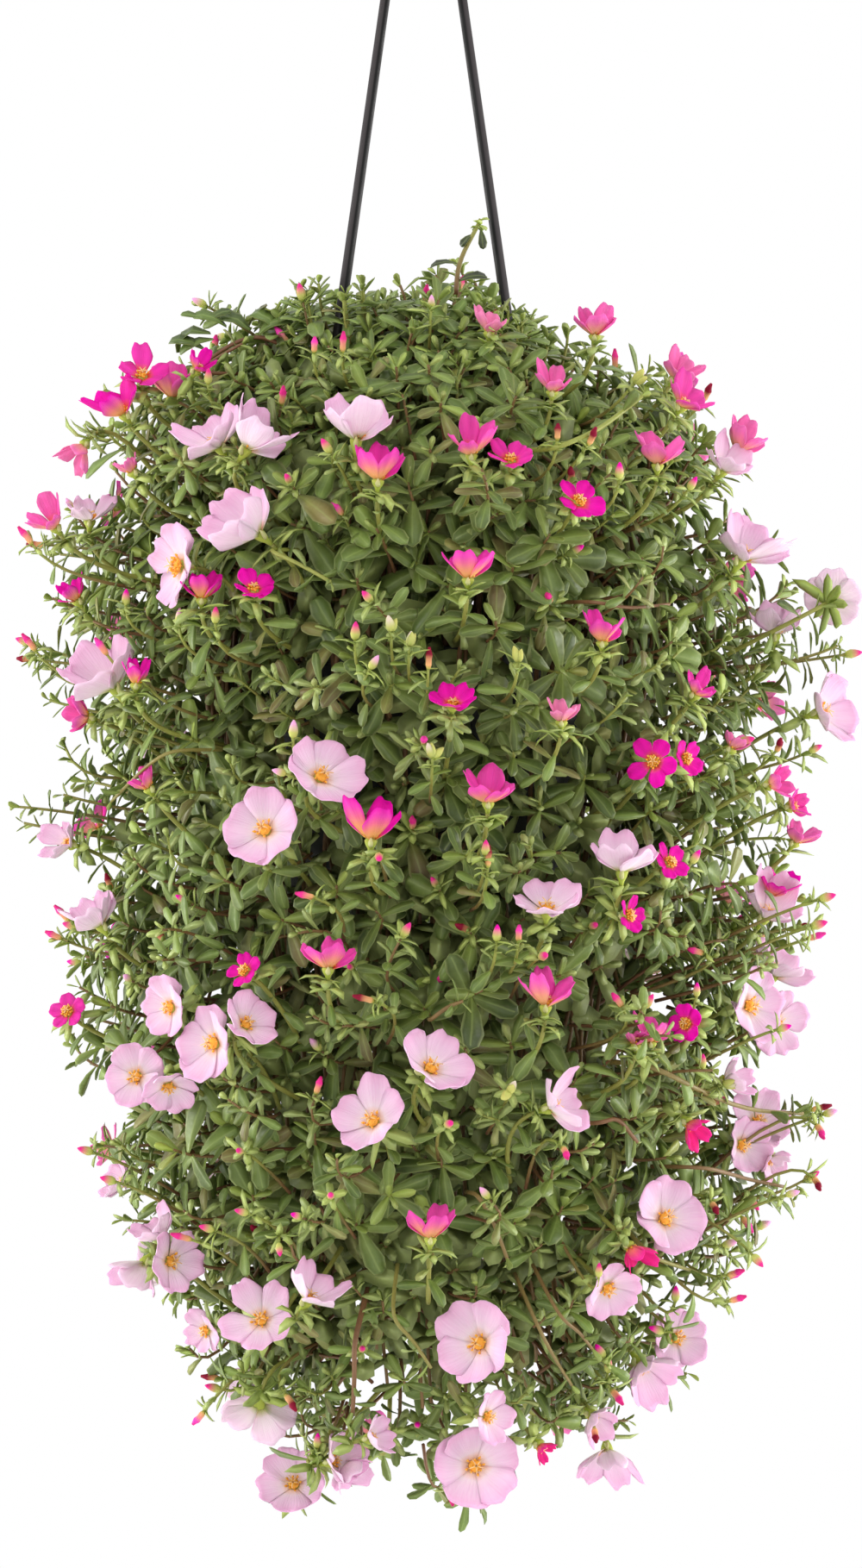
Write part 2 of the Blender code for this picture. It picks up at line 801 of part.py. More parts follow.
def add_shoot(plant, clump, target, length, turn, lift):
    """A shoot from the clump's core to a target, with its whorl of leaves, where there is room."""
    if not clump.holds(target) or not plant.free(target, spare=0.005):
        return False
    if any((target - other).length < length * SHOOT_SPACING for other in clump.shoots):
        return False
    if any((target - other).length < length * BLOOM_SPACING for other in clump.blooms):
        return False
    for drop in ROOT_DROPS:
        root = root_for(clump, target, drop)
        if plant.line_free(root, target):
            clump.pieces.append(leaf_star(plant, clump, root, target, length, turn, lift))
            clump.shoots.append(target)
            return True
    return False


def spray_shoots(plant, clump, draw):
    """Shoots up and down a spray, in turn left and right of its middle."""
    top = -0.400
    low = clump.end_z - 0.006
    wanted = SHOOTS_PER_SPRAY - len(clump.blooms) // BLOOMS_PER_SHOOT_LESS
    placed = 0
    for attempt in range(60):
        if placed >= wanted:
            break
        share = ((attempt % SHOOTS_PER_SPRAY) + 0.5 + draw.uniform(-0.3, 0.3)) / SHOOTS_PER_SPRAY
        z = top + (low - top) * share
        radius = bush_radius(z) * draw.uniform(0.90, 0.98) - 0.004
        half = max(radius * clump.slope - 0.028, 0.003)
        v = half * (1 if attempt % 2 else -1) * draw.uniform(0.4, 1.0)
        u = math.sqrt(max(radius * radius - v * v, 0.0001))
        length = LEAF_LENGTH * draw.uniform(0.85, 1.12)
        turn = draw.uniform(0.0, math.tau)
        lift = draw.uniform(0.05, 0.45)
        if add_shoot(plant, clump, clump.world(u, v, z), length, turn, lift):
            placed += 1


def crown_shoots(plant, clump, draw):
    """Shoots that rise all over a quarter of the crown."""
    placed = 0
    for attempt in range(60):
        if placed >= SHOOTS_PER_CROWN:
            break
        radius = 0.022 + 0.062 * math.sqrt((attempt % SHOOTS_PER_CROWN + 0.5) / SHOOTS_PER_CROWN)
        angle = draw.uniform(-0.62, 0.62)
        height = -0.358 - 0.030 * (radius / 0.08) ** 2 - draw.uniform(0.0, 0.020)
        target = clump.world(radius * math.cos(angle), radius * math.sin(angle), height)
        length = LEAF_LENGTH * draw.uniform(0.50, 0.66)
        if add_shoot(plant, clump, target, length, draw.uniform(0.0, math.tau), draw.uniform(0.0, 0.35)):
            placed += 1


def back_blooms(plant):
    """Blooms round the side that the picture doesn't show, spread by a seeded rule."""
    draw = random.Random(BACK_SEED)
    for i in range(BACK_BLOOMS):
        z = -0.400 - 0.640 * (i + 0.5) / BACK_BLOOMS
        turn = math.radians(100 + (i * 61.8) % 160)
        radius = bush_radius(z) * 0.985
        place = Vector((radius * math.sin(turn), -radius * math.cos(turn), z))
        outward = Vector((math.sin(turn), -math.cos(turn), 0))
        axis = (outward + Vector((0, 0, draw.uniform(-0.1, 0.8)))).normalized()
        wide = draw.choice((0.040, 0.028, 0.030, 0.042, 0.028))
        fuse_small_bloom(plant, place, axis, wide / 2, draw.uniform(0.3, 0.55))


def build_plant():
    leaf = material("leaf_green", LEAF_GREEN, 0.55)
    plant = Plant()
    for name, zone in pale_blooms(plant):
        if not stalk_to_bloom(plant, zone):
            raise ValueError(f"{name} has no stalk")
    for bloom in SMALL_BLOOMS:
        place = picture_place(bloom.column, bloom.row)
        axis = facing_axis(bloom.facing)
        radius = bloom.width * METRES_PER_PIXEL / 2
        fuse_small_bloom(plant, place, axis, radius, cup_of(bloom.facing))
    back_blooms(plant)
    for tip in LONE_TIPS:
        place = picture_place(tip.column, tip.row, tip.depth)
        clump = plant.clump_at(place)
        add_shoot(plant, clump, place, LEAF_LENGTH * LONE_LEAF_SHARE, LONE_TURN, LONE_LIFT)
    for number, clump in enumerate(plant.sprays + plant.crowns):
        draw = random.Random(100 + number)
        if clump.crown:
            crown_shoots(plant, clump, draw)
            core = crown_core(clump)
        else:
            spray_shoots(plant, clump, draw)
            core = spray_core(clump)
        boolean(core, clump.pieces, "UNION", "MANIFOLD")
        keep_largest(core)
        finish_object(core, clump.name, leaf, False)
    return plant


def build_pot():
    """The pot with its flange, skirt, strand holes and drain holes."""
    inner_top = WALL_TOP_RADIUS - WALL_THICKNESS
    inner_base = WALL_BASE_RADIUS - WALL_THICKNESS
    profile = [
        (0.0, POT_BASE_Z + FLOOR_LIFT),
        (WALL_BASE_RADIUS - 0.010, POT_BASE_Z + FLOOR_LIFT),
        (WALL_BASE_RADIUS - 0.009, POT_BASE_Z),
        (WALL_BASE_RADIUS - 0.001, POT_BASE_Z),
        (WALL_BASE_RADIUS, POT_BASE_Z + 0.001),
        (WALL_TOP_RADIUS, RIM_Z - FLANGE_THICKNESS),
        (RIM_RADIUS - 0.0018, RIM_Z - FLANGE_THICKNESS),
        (RIM_RADIUS - 0.0018, RIM_Z - SKIRT_DEPTH),
        (RIM_RADIUS, RIM_Z - SKIRT_DEPTH),
        (RIM_RADIUS, RIM_Z - 0.001),
        (RIM_RADIUS - 0.001, RIM_Z),
        (inner_top + 0.001, RIM_Z),
        (inner_top, RIM_Z - 0.001),
        (inner_base, POT_BASE_Z + FLOOR_LIFT + FLOOR_THICKNESS),
        (0.0, POT_BASE_Z + FLOOR_LIFT + FLOOR_THICKNESS),
    ]
    pot = lathe("pot", profile, POT_SIDES)
    cutters = []
    for degrees in STRAND_AZIMUTHS:
        centre = strand_point(degrees, RIM_Z - FLANGE_THICKNESS / 2)
        low = centre - Vector((0, 0, 0.004))
        high = centre + Vector((0, 0, 0.004))
        cutters.append(rod("hole", low, high, STRAND_HOLE_RADIUS, STRAND_HOLE_RADIUS, 8))
    for i in range(6):
        turn = math.tau * i / 5
        spread = DRAIN_CIRCLE_RADIUS if i < 5 else 0.0
        low = Vector((spread * math.sin(turn), -spread * math.cos(turn), POT_BASE_Z - 0.002))
        high = low + Vector((0, 0, 0.008))
        cutters.append(rod("hole", low, high, DRAIN_HOLE_RADIUS, DRAIN_HOLE_RADIUS, 8))
    boolean(pot, cutters, "DIFFERENCE")
    return finish_object(pot, "pot", material("pot_plastic", POT_GREY, 0.5), True)


def build_soil(plant):
    """The potting soil, with a plain hole for each stem."""
    slant = (WALL_TOP_RADIUS - WALL_BASE_RADIUS) / (POT_HEIGHT - FLANGE_THICKNESS)
    base_z = POT_BASE_Z + FLOOR_LIFT + FLOOR_THICKNESS + GAP
    base_radius = WALL_BASE_RADIUS - WALL_THICKNESS - 0.0006
    top_radius = base_radius + (SOIL_Z - base_z) * slant - 0.0004
    profile = [
        (0.0, base_z),
        (base_radius, base_z),
        (top_radius, SOIL_Z),
        (0.030, SOIL_Z + SOIL_CROWN),
        (0.0, SOIL_Z + SOIL_CROWN),
    ]
    soil = lathe("soil", profile, POT_SIDES)
    holes = []
    for clump in plant.sprays + plant.crowns:
        u = CROWN_STEM_R if clump.crown else SPRAY_STEM_R
        low = clump.world(u, 0.0, SOIL_Z - STEM_DEPTH - GAP)
        high = clump.world(u, 0.0, SOIL_Z + 0.010)
        holes.append(rod("hole", low, high, STEM_HOLE_RADIUS, STEM_HOLE_RADIUS, 6))
    boolean(soil, holes, "DIFFERENCE")
    return finish_object(soil, "soil", material("potting_soil", SOIL_BROWN, 0.95), False)


def strand_point(degrees, z):
    """The middle of a strand at a height."""
    turn = math.radians(degrees)
    radius = STRAND_TOP_R + (HUB_TOP_Z - z) * STRAND_SLOPE
    return Vector((radius * math.sin(turn), -radius * math.cos(turn), z))


def build_strands():
    """Four straight strands, each with a button under the pot's flange."""
    black = material("strand_plastic", STRAND_BLACK, 0.45)
    top_z = HUB_TOP_Z - HUB_HEIGHT + SOCKET_DEPTH - GAP
    button_z = RIM_Z - FLANGE_THICKNESS - GAP
    steps = (
        (top_z, STRAND_RADIUS),
        (button_z, STRAND_RADIUS),
        (button_z - 0.0001, BUTTON_RADIUS),
        (button_z - BUTTON_HEIGHT, BUTTON_RADIUS),
    )
    for number, degrees in enumerate(STRAND_AZIMUTHS, start=1):
        turn = math.radians(degrees)
        out = Vector((math.sin(turn), -math.cos(turn), 0))
        side = Vector((math.cos(turn), math.sin(turn), 0))
        rings = [disc_ring(strand_point(degrees, z), out, side, radius, 8) for z, radius in steps]
        finish_object(loft("strand", rings), f"strand_{number}", black, True)


def hook_path():
    """From the open tip, over the crown, and down to the hub on the axis."""
    bend = HOOK_INNER_RADIUS + HOOK_WIRE_RADIUS
    middle = Vector((0, 0, -HOOK_INNER_RADIUS))
    path = []
    for degrees in range(-36, 235, 27):
        turn = math.radians(degrees)
        path.append(middle + bend * Vector((math.cos(turn), 0, math.sin(turn))))
    path.append(Vector((-0.0045, 0, -0.0368)))
    path.append(Vector((-0.0010, 0, -0.0430)))
    path.append(Vector((0, 0, -0.0500)))
    path.append(Vector((0, 0, HUB_TOP_Z - 0.004)))
    return path


def build_hook():
    """The hook and, fused to its foot, the hub with a socket for each strand."""
    low = HUB_TOP_Z - HUB_HEIGHT
    profile = [
        (0.0, low),
        (HUB_RADIUS - 0.001, low),
        (HUB_RADIUS, low + 0.001),
        (HUB_RADIUS, HUB_TOP_Z - 0.003),
        (HUB_RADIUS - 0.004, HUB_TOP_Z),
        (0.0, HUB_TOP_Z),
    ]
    hub = lathe("hub", profile, 12)
    boolean(hub, [tube("wire", hook_path(), HOOK_WIRE_RADIUS, 8)], "UNION")
    sockets = []
    for degrees in STRAND_AZIMUTHS:
        turn = math.radians(degrees)
        out = Vector((math.sin(turn), -math.cos(turn), 0))
        side = Vector((math.cos(turn), math.sin(turn), 0))
        rings = []
        for z in (low - 0.003, low + SOCKET_DEPTH):
            rings.append(disc_ring(strand_point(degrees, z), out, side, STRAND_RADIUS + 0.0004, 8))
        sockets.append(loft("socket", rings))
    boolean(hub, sockets, "DIFFERENCE")
    return finish_object(hub, "hanger_hook", material("hook_plastic", STRAND_BLACK, 0.45), True)


clear_scene()
build_hook()
build_strands()
build_pot()
build_soil(build_plant())
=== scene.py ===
"""The looks of a hanging basket of moss rose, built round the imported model.

Metres, +Z up, -Y is the front. The origin is the inner crown of the hook.
"""

import math
import random
from collections import namedtuple

import bpy
import numpy as np
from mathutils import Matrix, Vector


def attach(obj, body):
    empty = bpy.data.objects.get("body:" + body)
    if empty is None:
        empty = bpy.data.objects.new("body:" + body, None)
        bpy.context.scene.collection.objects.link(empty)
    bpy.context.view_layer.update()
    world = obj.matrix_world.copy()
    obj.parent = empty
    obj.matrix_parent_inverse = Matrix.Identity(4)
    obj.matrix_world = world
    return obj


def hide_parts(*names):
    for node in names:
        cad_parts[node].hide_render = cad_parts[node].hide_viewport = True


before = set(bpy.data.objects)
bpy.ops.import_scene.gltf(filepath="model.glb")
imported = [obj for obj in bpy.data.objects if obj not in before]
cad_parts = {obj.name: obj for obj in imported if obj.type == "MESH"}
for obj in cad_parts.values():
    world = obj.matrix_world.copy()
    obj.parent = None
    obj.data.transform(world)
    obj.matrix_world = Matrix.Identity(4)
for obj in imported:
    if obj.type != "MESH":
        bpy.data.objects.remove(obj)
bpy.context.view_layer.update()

# Picture scale: one pixel of the front view is half a millimetre
METRES_PER_PIXEL = 0.0005
PICTURE_WIDTH = 1000
PICTURE_HEIGHT = 1819
PICTURE_MIDDLE_COLUMN = 491.5
PICTURE_HOOK_ROW = -380.0
LEAST_DEPTH = 0.022
DEPTH_SPREAD = 0.085

# Camera
CAMERA_DISTANCE = 9.0
FOCUS_PLANE_Y = -0.08
SENSOR = 36.0

# Lamps: name, place, size, power and colour
LAMPS = (
    ("key", (-1.8, -2.4, 0.9), 1.2, 26.0, (1.0, 0.98, 0.95)),
    ("fill", (2.2, -2.0, -0.3), 1.8, 10.0, (0.98, 0.98, 1.0)),
    ("left_side", (-2.6, 0.6, -0.7), 1.8, 46.0, (1.0, 0.99, 0.97)),
    ("right_side", (2.6, 0.6, -0.8), 1.8, 56.0, (1.0, 0.99, 0.97)),
)
LAMP_TARGET = (0.0, 0.0, -0.65)
FLOOR_Z = -1.55
FLOOR_RADIUS = 5.0

# Bush: height and outer radius, from the middle of its top down to its ragged end
BUSH_OUTLINE = (
    (-0.34, 0.0), (-0.345, 0.04), (-0.36, 0.085), (-0.375, 0.112), (-0.39, 0.135), (-0.41, 0.165),
    (-0.43, 0.184), (-0.455, 0.198), (-0.5, 0.208), (-0.57, 0.214), (-0.81, 0.213), (-0.83, 0.206),
    (-0.89, 0.19), (-0.95, 0.172), (-0.99, 0.14), (-1.03, 0.108), (-1.062, 0.066),
)
# How far the bush stands out at its two sides, as a share of its radius, from each row to the next
TUFT_FIRST_ROW = 429.0
TUFT_ROW_STEP = 50.5
LEFT_TUFTS = (
    (0.105, 0.175, 0.110, 0.085, 0.070, 0.057, 0.091, 0.100, 0.075, 0.030, 0.025, 0.015)
    + (0.030, 0.050, 0.063, 0.075, 0.010, -0.030, -0.020, 0.010, 0.000, 0.000, -0.050, -0.040)
)
RIGHT_TUFTS = (
    (0.000, -0.010, -0.025, -0.100, 0.050, 0.060, 0.130, 0.135, 0.127, 0.125, 0.080, 0.095)
    + (0.130, 0.145, 0.140, 0.130, -0.010, 0.060, 0.085, 0.120, 0.095, 0.098, -0.010, 0.000)
)
# How much higher or lower than round the dome is, from left to right
DOME_LIFT = (
    (-0.17, 0.004), (-0.12, 0.002), (-0.08, -0.005), (-0.03, -0.002), (-0.008, -0.002), (0.017, 0.009),
    (0.042, -0.002), (0.06, -0.024), (0.1, -0.03), (0.14, -0.01),
)
# Open places at the outline where no shoot ends: column, row and radius
GAPS = (
    (884, 572, 34), (932, 880, 42), (885, 1234, 42), (878, 985, 34), (114, 940, 34), (106, 990, 34),
    (92, 1040, 32), (118, 1288, 24), (84, 1262, 34), (72, 1136, 18), (902, 840, 24), (918, 936, 38),
    (225, 1595, 24), (645, 1700, 38), (692, 1688, 30), (475, 1748, 32), (600, 1750, 36), (420, 1748, 28),
    (372, 1748, 22), (545, 1760, 30), (675, 1595, 16), (832, 1545, 24), (866, 482, 34), (38, 1180, 30),
    (112, 1440, 26), (118, 1485, 24), (635, 1738, 42), (190, 1532, 26), (72, 790, 28), (56, 838, 20),
    (75, 560, 22), (886, 842, 24), (928, 790, 22),
)
SPRAYS = 16
CROWNS = ("crown_front", "crown_right", "crown_back", "crown_left")
CROWN_OUTER_R = 0.091
CROWN_LOWEST_Z = -0.47
DOME_LOWEST_Z = -0.46
DOME_RADIUS = 0.165
DOME_RINGS = 7
LOW_Z = -0.91

# Hook and hub
HOOK_WIRE_RADIUS = 0.0028
HOOK_INNER_RADIUS = 0.016
HUB_RADIUS = 0.0135
HUB_TOP_Z = -0.064
HUB_HEIGHT = 0.014

# Strands
STRAND_TOP_R = 0.0076
STRAND_SLOPE = 0.2
STRAND_AZIMUTHS = (45, 135, 225, 315)
STRAND_WIDTH = 0.0057
STRAND_THICKNESS = 0.0040
STRAND_SIDES = 20
STRAND_STEPS = 28
SOCKET_DEPTH = 0.009
SOCKET_RADIUS = 0.0024
BUTTON_RADIUS = 0.0044
BUTTON_HEIGHT = 0.003
GAP = 0.0003

# Pot and soil
RIM_Z = -0.565
RIM_RADIUS = 0.1165
POT_HEIGHT = 0.140
POT_BASE_Z = RIM_Z - POT_HEIGHT
WALL_TOP_RADIUS = 0.102
WALL_BASE_RADIUS = 0.0785
WALL_THICKNESS = 0.0018
RIB_SHARES = (0.80, 0.81)
RIB_DEPTH = 0.0012
FLOOR_THICKNESS = 0.002
FLOOR_LIFT = 0.0015
FLANGE_THICKNESS = 0.003
SKIRT_DEPTH = 0.010
STRAND_HOLE_RADIUS = 0.0032
DRAIN_HOLE_RADIUS = 0.005
DRAIN_CIRCLE_RADIUS = 0.050
SOIL_Z = RIM_Z - 0.015
SOIL_HUMP = 0.003
SOIL_SIDES = 72
CRUMBS = 420

# Counts and turns
GOLDEN_TURN = math.radians(137.5)
MOST_LEAN = 0.72
OUTER_SHOOTS = 900
INNER_SHOOTS = 470
CORE_SHOOTS = 170
POT_SHOOTS = 120
DOME_SHOOTS = 130
TUFTS_PER_STRAND = 9
STEMS_PER_SPRAY = 4
STEMS_PER_CROWN = 5
BACK_BLOOMS = 44

# Leaf blades: share of the length and of the half width at each step, and the cross section
FULL_STEPS = ((0.04, 0.22), (0.36, 0.70), (0.70, 1.0), (0.92, 0.66))
PLAIN_STEPS = ((0.05, 0.26), (0.52, 0.92), (0.86, 0.82))
NARROW_STEPS = ((0.03, 0.50), (0.35, 0.95), (0.72, 0.85))
FULL_SECTION = ((-1.0, 0.0), (0.0, 1.0), (1.0, 0.0), (0.0, -1.0))
NARROW_SECTION = ((-1.0, 0.0), (1.0, 0.0), (0.0, -1.0))
SLIM_WIDTH = 0.0052
PETAL_THICKNESS = 0.0004
NO_MARK = (0.0, 0.0, 0.0)
# A bud: distance along its axis and radius
BUD_SHAPE = (
    (0.0, 0.0010), (0.0015, 0.0024), (0.004, 0.0031), (0.007, 0.0026), (0.0095, 0.0017), (0.0115, 0.0005),
)

Bloom = namedtuple("Bloom", "column row width facing tone", defaults=(0.0,))
Form = namedtuple("Form", "spread rounding vary ruffle rows columns")
Leaf = namedtuple("Leaf", "base along up length width curl tint foot cup twist", defaults=(0.25, 0.0))
Zone = namedtuple("Zone", "base axis radius cup")

# Petals of open and of cupped blooms
OPEN_PALE = Form(0.71, 0.40, 0.42, 1.4, 8, 11)
CUPPED_PALE = Form(0.70, 0.38, 0.38, 1.5, 8, 11)
OPEN_MAGENTA = Form(0.54, 0.37, 0.30, 0.9, 6, 9)
CUPPED_MAGENTA = Form(0.62, 0.34, 0.36, 1.4, 6, 9)

FACINGS = {
    "front": (0.0, -1.0, 0.2), "front_left": (-0.4, -1.0, 0.15), "front_right": (0.4, -1.0, 0.2),
    "front_up": (0.05, -0.62, 0.8), "front_down": (0.05, -1.0, -0.35), "up": (0.05, -0.22, 1.0),
    "up_left": (-0.55, -0.3, 0.85), "up_right": (0.55, -0.3, 0.85), "left": (-1.0, -0.45, 0.3),
    "right": (1.0, -0.45, 0.3), "down": (0.1, -0.45, -1.0), "down_left": (-0.6, -0.2, -0.8),
    "down_right": (0.6, -0.4, -0.7), "left_up": (-0.85, -0.4, 0.65), "side_right": (0.8, -0.75, 0.2),
    "away_down": (-0.1, 0.62, -0.72), "edge_left": (-0.85, -0.45, 0.1), "away": (0.35, 0.9, 0.2),
}
# The 32 pale blooms that are nodes of their own: column, row, width and facing. A facing is a name,
# or how far the eye shows to the right of and below the middle.
PALE_BLOOMS = (
    (247, 507, 78, "up_left"), (297, 510, 80, "up_right"), (415, 497, 82, "up"), (288, 612, 86, "left_up"),
    (207, 658, 92, "edge_left"), (122, 782, 90, "up_left"), (382, 892, 88, (-12, 13)),
    (303, 955, 88, (8, 9)), (720, 993, 78, "up"), (633, 1047, 80, "front_up"), (870, 634, 84, "up_right"),
    (970, 694, 68, "away"), (968, 822, 80, "right"), (190, 1167, 68, (12, 0)), (238, 1207, 86, (18, 1)),
    (294, 1178, 70, (-11, 12)), (155, 1247, 70, (5, 1)), (507, 1225, 88, (-10, 13)),
    (427, 1288, 88, (8, 10)), (650, 1277, 74, "right"), (882, 1166, 84, (-16, 2)), (888, 1300, 72, (-8, 6)),
    (778, 1407, 90, (-9, 7)), (710, 1498, 72, (-8, -8)), (793, 1555, 70, (-8, 2)), (547, 1553, 94, (11, 1)),
    (301, 1523, 82, (4, 6)), (208, 1462, 76, (-12, 0)), (300, 1635, 82, "away_down"),
    (338, 1722, 78, (2, 7)), (554, 1700, 92, (-4, 1)), (707, 1702, 76, "down"),
)
# The smaller pale blooms, which belong to their spray
SMALL_PALE_BLOOMS = (
    (902, 722, 62, "up"), (198, 1266, 62, (-1, -10)), (871, 1332, 66, (-11, -2)),
    (752, 1594, 70, "down_right"), (365, 1492, 68, "up_right"), (158, 1478, 64, "down_left"),
    (395, 1692, 60, "right"), (574, 1642, 64, (-12, -1)), (103, 590, 58, "up"), (110, 1063, 62, "up_left"),
    (70, 977, 48, "left"), (845, 535, 60, "up_right"), (897, 1052, 74, "up_right"),
    (232, 1545, 52, (9, -2)), (137, 1370, 46, "left"), (912, 1190, 78, (-12, -2)),
    (908, 1120, 74, "up_right"), (848, 1250, 46, "right"), (182, 1426, 52, "up_left"),
    (437, 1664, 46, "right"), (404, 1706, 50, "down_right"), (692, 1650, 46, "down_right"),
    (900, 1352, 40, "down_right"),
)
# Magenta blooms, with a tone that goes from 0, full magenta, to 1, faded pink. Crimson ones have -1.
MAGENTA_BLOOMS = (
    (166, 432, 62, "front_up", 0.1), (200, 449, 60, "up", 0.2), (137, 470, 68, "up_left", 0.0),
    (232, 424, 34, "up_right", 0.0), (90, 526, 50, "down_left", 0.7), (150, 542, 32, "up_left", 0.6),
    (58, 602, 52, "up_left", 0.4), (82, 687, 44, "up_left", 0.0), (237, 685, 50, "up", 0.0),
    (297, 683, 48, "front_up", 0.0), (440, 548, 66, "up", 0.1), (547, 520, 58, "up", 0.2),
    (592, 534, 54, "front_up", 0.1), (543, 662, 62, "up", 0.1), (672, 582, 60, (-8, 13), 0.0),
    (640, 447, 44, "up", 0.5), (690, 378, 50, "up", 0.4), (568, 378, 40, "up", 0.9),
    (790, 428, 52, "up_right", 0.6), (797, 462, 60, "up_right", 0.2), (762, 528, 64, "up", 0.4),
    (862, 512, 54, "up_right", 0.5), (697, 735, 50, "up", 0.1), (525, 815, 54, "front_up", 0.0),
    (810, 798, 42, "up_right", 0.1), (650, 828, 42, "up", 0.9), (93, 830, 42, "left", 0.3),
    (160, 786, 36, "up", 0.0), (170, 908, 36, "up_left", 0.2), (432, 958, 76, "up", 0.0),
    (566, 918, 62, "up", 0.2), (755, 883, 62, (2, 2), 0.0), (795, 880, 46, "side_right", 0.0),
    (852, 862, 34, "up_right", 0.7), (900, 908, 42, "right", 0.3), (924, 934, 34, "right", 0.2),
    (930, 968, 48, "up_right", 0.4), (777, 998, 48, (-7, 5), 0.0), (903, 1030, 50, "up_right", 0.0),
    (729, 1060, 46, "side_right", 0.0), (383, 1107, 66, "up", 0.2), (284, 1122, 48, (9, 7), 0.0),
    (632, 1150, 68, "up", 0.2), (77, 1172, 46, (4, 5), 0.1), (753, 1196, 46, "up", 0.3),
    (792, 1185, 46, (5, 2), 0.0), (500, 1418, 62, "up", 0.2), (735, 1450, 42, "down_right", -1.0),
    (803, 1308, 44, "down_right", -1.0), (630, 1682, 32, "down_right", -1.0), (735, 1204, 26, "up", 0.5),
)
# Buds, spent blooms and fat green buds: column, row, facing and kind
MARKS = (
    (413, 745, "up", "bud"), (430, 778, "up_right", "bud"), (517, 1300, "front_right", "bud"),
    (385, 1383, "front", "bud"), (283, 1332, "front_left", "bud"), (325, 1437, "down", "bud"),
    (290, 1404, "left", "bud"), (250, 1424, "left", "bud"), (108, 1337, "left", "bud"),
    (945, 1368, "down_right", "spent"), (870, 1392, "down_right", "bud"), (125, 760, "up_left", "spent"),
    (40, 755, "up_left", "spent"), (38, 632, "up_left", "spent"), (500, 360, "up", "bud"),
    (365, 412, "up", "spent"), (398, 412, "up", "spent"), (815, 465, "up_right", "spent"),
    (162, 785, "up_left", "bud"), (900, 872, "up_right", "spent"), (800, 1001, "up_right", "bud"),
    (705, 1592, "up", "bud"), (135, 1370, "left", "bud"), (902, 1194, "right", "bud"),
    (845, 1508, "right", "spent"), (872, 1454, "down_right", "bud"), (940, 1075, "right", "bud"),
    (855, 862, "right", "bud"), (368, 1680, "up", "bud"), (342, 857, "up", "bud"),
    (334, 898, "left", "bud"), (562, 992, "up", "bud"), (575, 1090, "up", "bud"),
    (625, 1108, "front_right", "bud"), (523, 1726, "down", "spent"), (210, 725, "up", "bud"),
    (252, 725, "up", "bud"), (147, 703, "up", "bud"), (385, 530, "up_left", "bud"), (242, 447, "up", "bud"),
    (735, 445, "up_right", "fat"), (645, 515, "up", "spent"), (680, 520, "up_right", "spent"),
    (716, 560, "up", "bud"), (797, 570, "up_right", "bud"), (440, 990, "front_down", "bud"),
    (502, 880, "up", "fat"), (367, 1040, "left", "spent"), (435, 1158, "left", "spent"),
    (565, 1005, "up", "spent"), (950, 1043, "right", "bud"), (938, 1090, "right", "spent"),
    (815, 1105, "left", "spent"), (806, 1155, "up", "bud"), (745, 1167, "up_right", "bud"),
    (720, 1166, "up_left", "spent"), (813, 1238, "up", "bud"), (838, 1257, "right", "fat"),
    (957, 1295, "right", "bud"), (948, 1306, "down_right", "spent"), (911, 1386, "right", "bud"),
    (824, 1394, "down_right", "spent"), (862, 1414, "down_right", "spent"), (838, 1445, "right", "bud"),
    (844, 1480, "right", "spent"), (783, 1510, "up", "bud"), (693, 1478, "up", "bud"),
    (771, 1545, "left", "bud"), (701, 1574, "up_left", "bud"), (709, 1612, "down_right", "spent"),
    (650, 1326, "down_right", "spent"), (224, 1436, "left", "spent"), (331, 1616, "down_right", "spent"),
    (237, 1637, "down_left", "spent"), (255, 1614, "left", "bud"), (600, 770, "up", "fat"),
    (455, 735, "up", "fat"), (475, 752, "up", "fat"), (590, 1262, "front", "fat"),
    (497, 778, "up", "spent"), (690, 1658, "down", "spent"), (600, 1090, "up", "spent"),
)
# Lone leafy tips that stand out of the bush: column, row and depth
LONE_TIPS = (
    (24, 955, -0.01), (34, 764, 0.01), (238, 352, -0.03), (292, 366, -0.02), (75, 702, 0.01),
    (262, 384, 0.03), (985, 758, 0.01), (940, 872, -0.04), (945, 1292, 0.015), (935, 1372, -0.03),
    (70, 1090, -0.04), (120, 1335, 0.01), (255, 1604, -0.02), (845, 1490, 0.02), (65, 640, 0.02),
    (880, 1090, 0.03), (140, 1420, 0.0), (800, 1600, 0.01), (14, 936, 0.0), (90, 1120, 0.03),
    (835, 690, 0.06), (124, 452, 0.0), (50, 630, -0.01), (70, 922, -0.01), (92, 945, 0.02), (96, 500, 0.02),
    (975, 748, -0.02), (928, 1388, 0.0), (88, 1078, 0.0), (880, 950, 0.05), (880, 1430, 0.02),
    (450, 1660, -0.08), (485, 1655, -0.06), (520, 1620, -0.09), (375, 1700, -0.04), (925, 1078, 0.0),
)
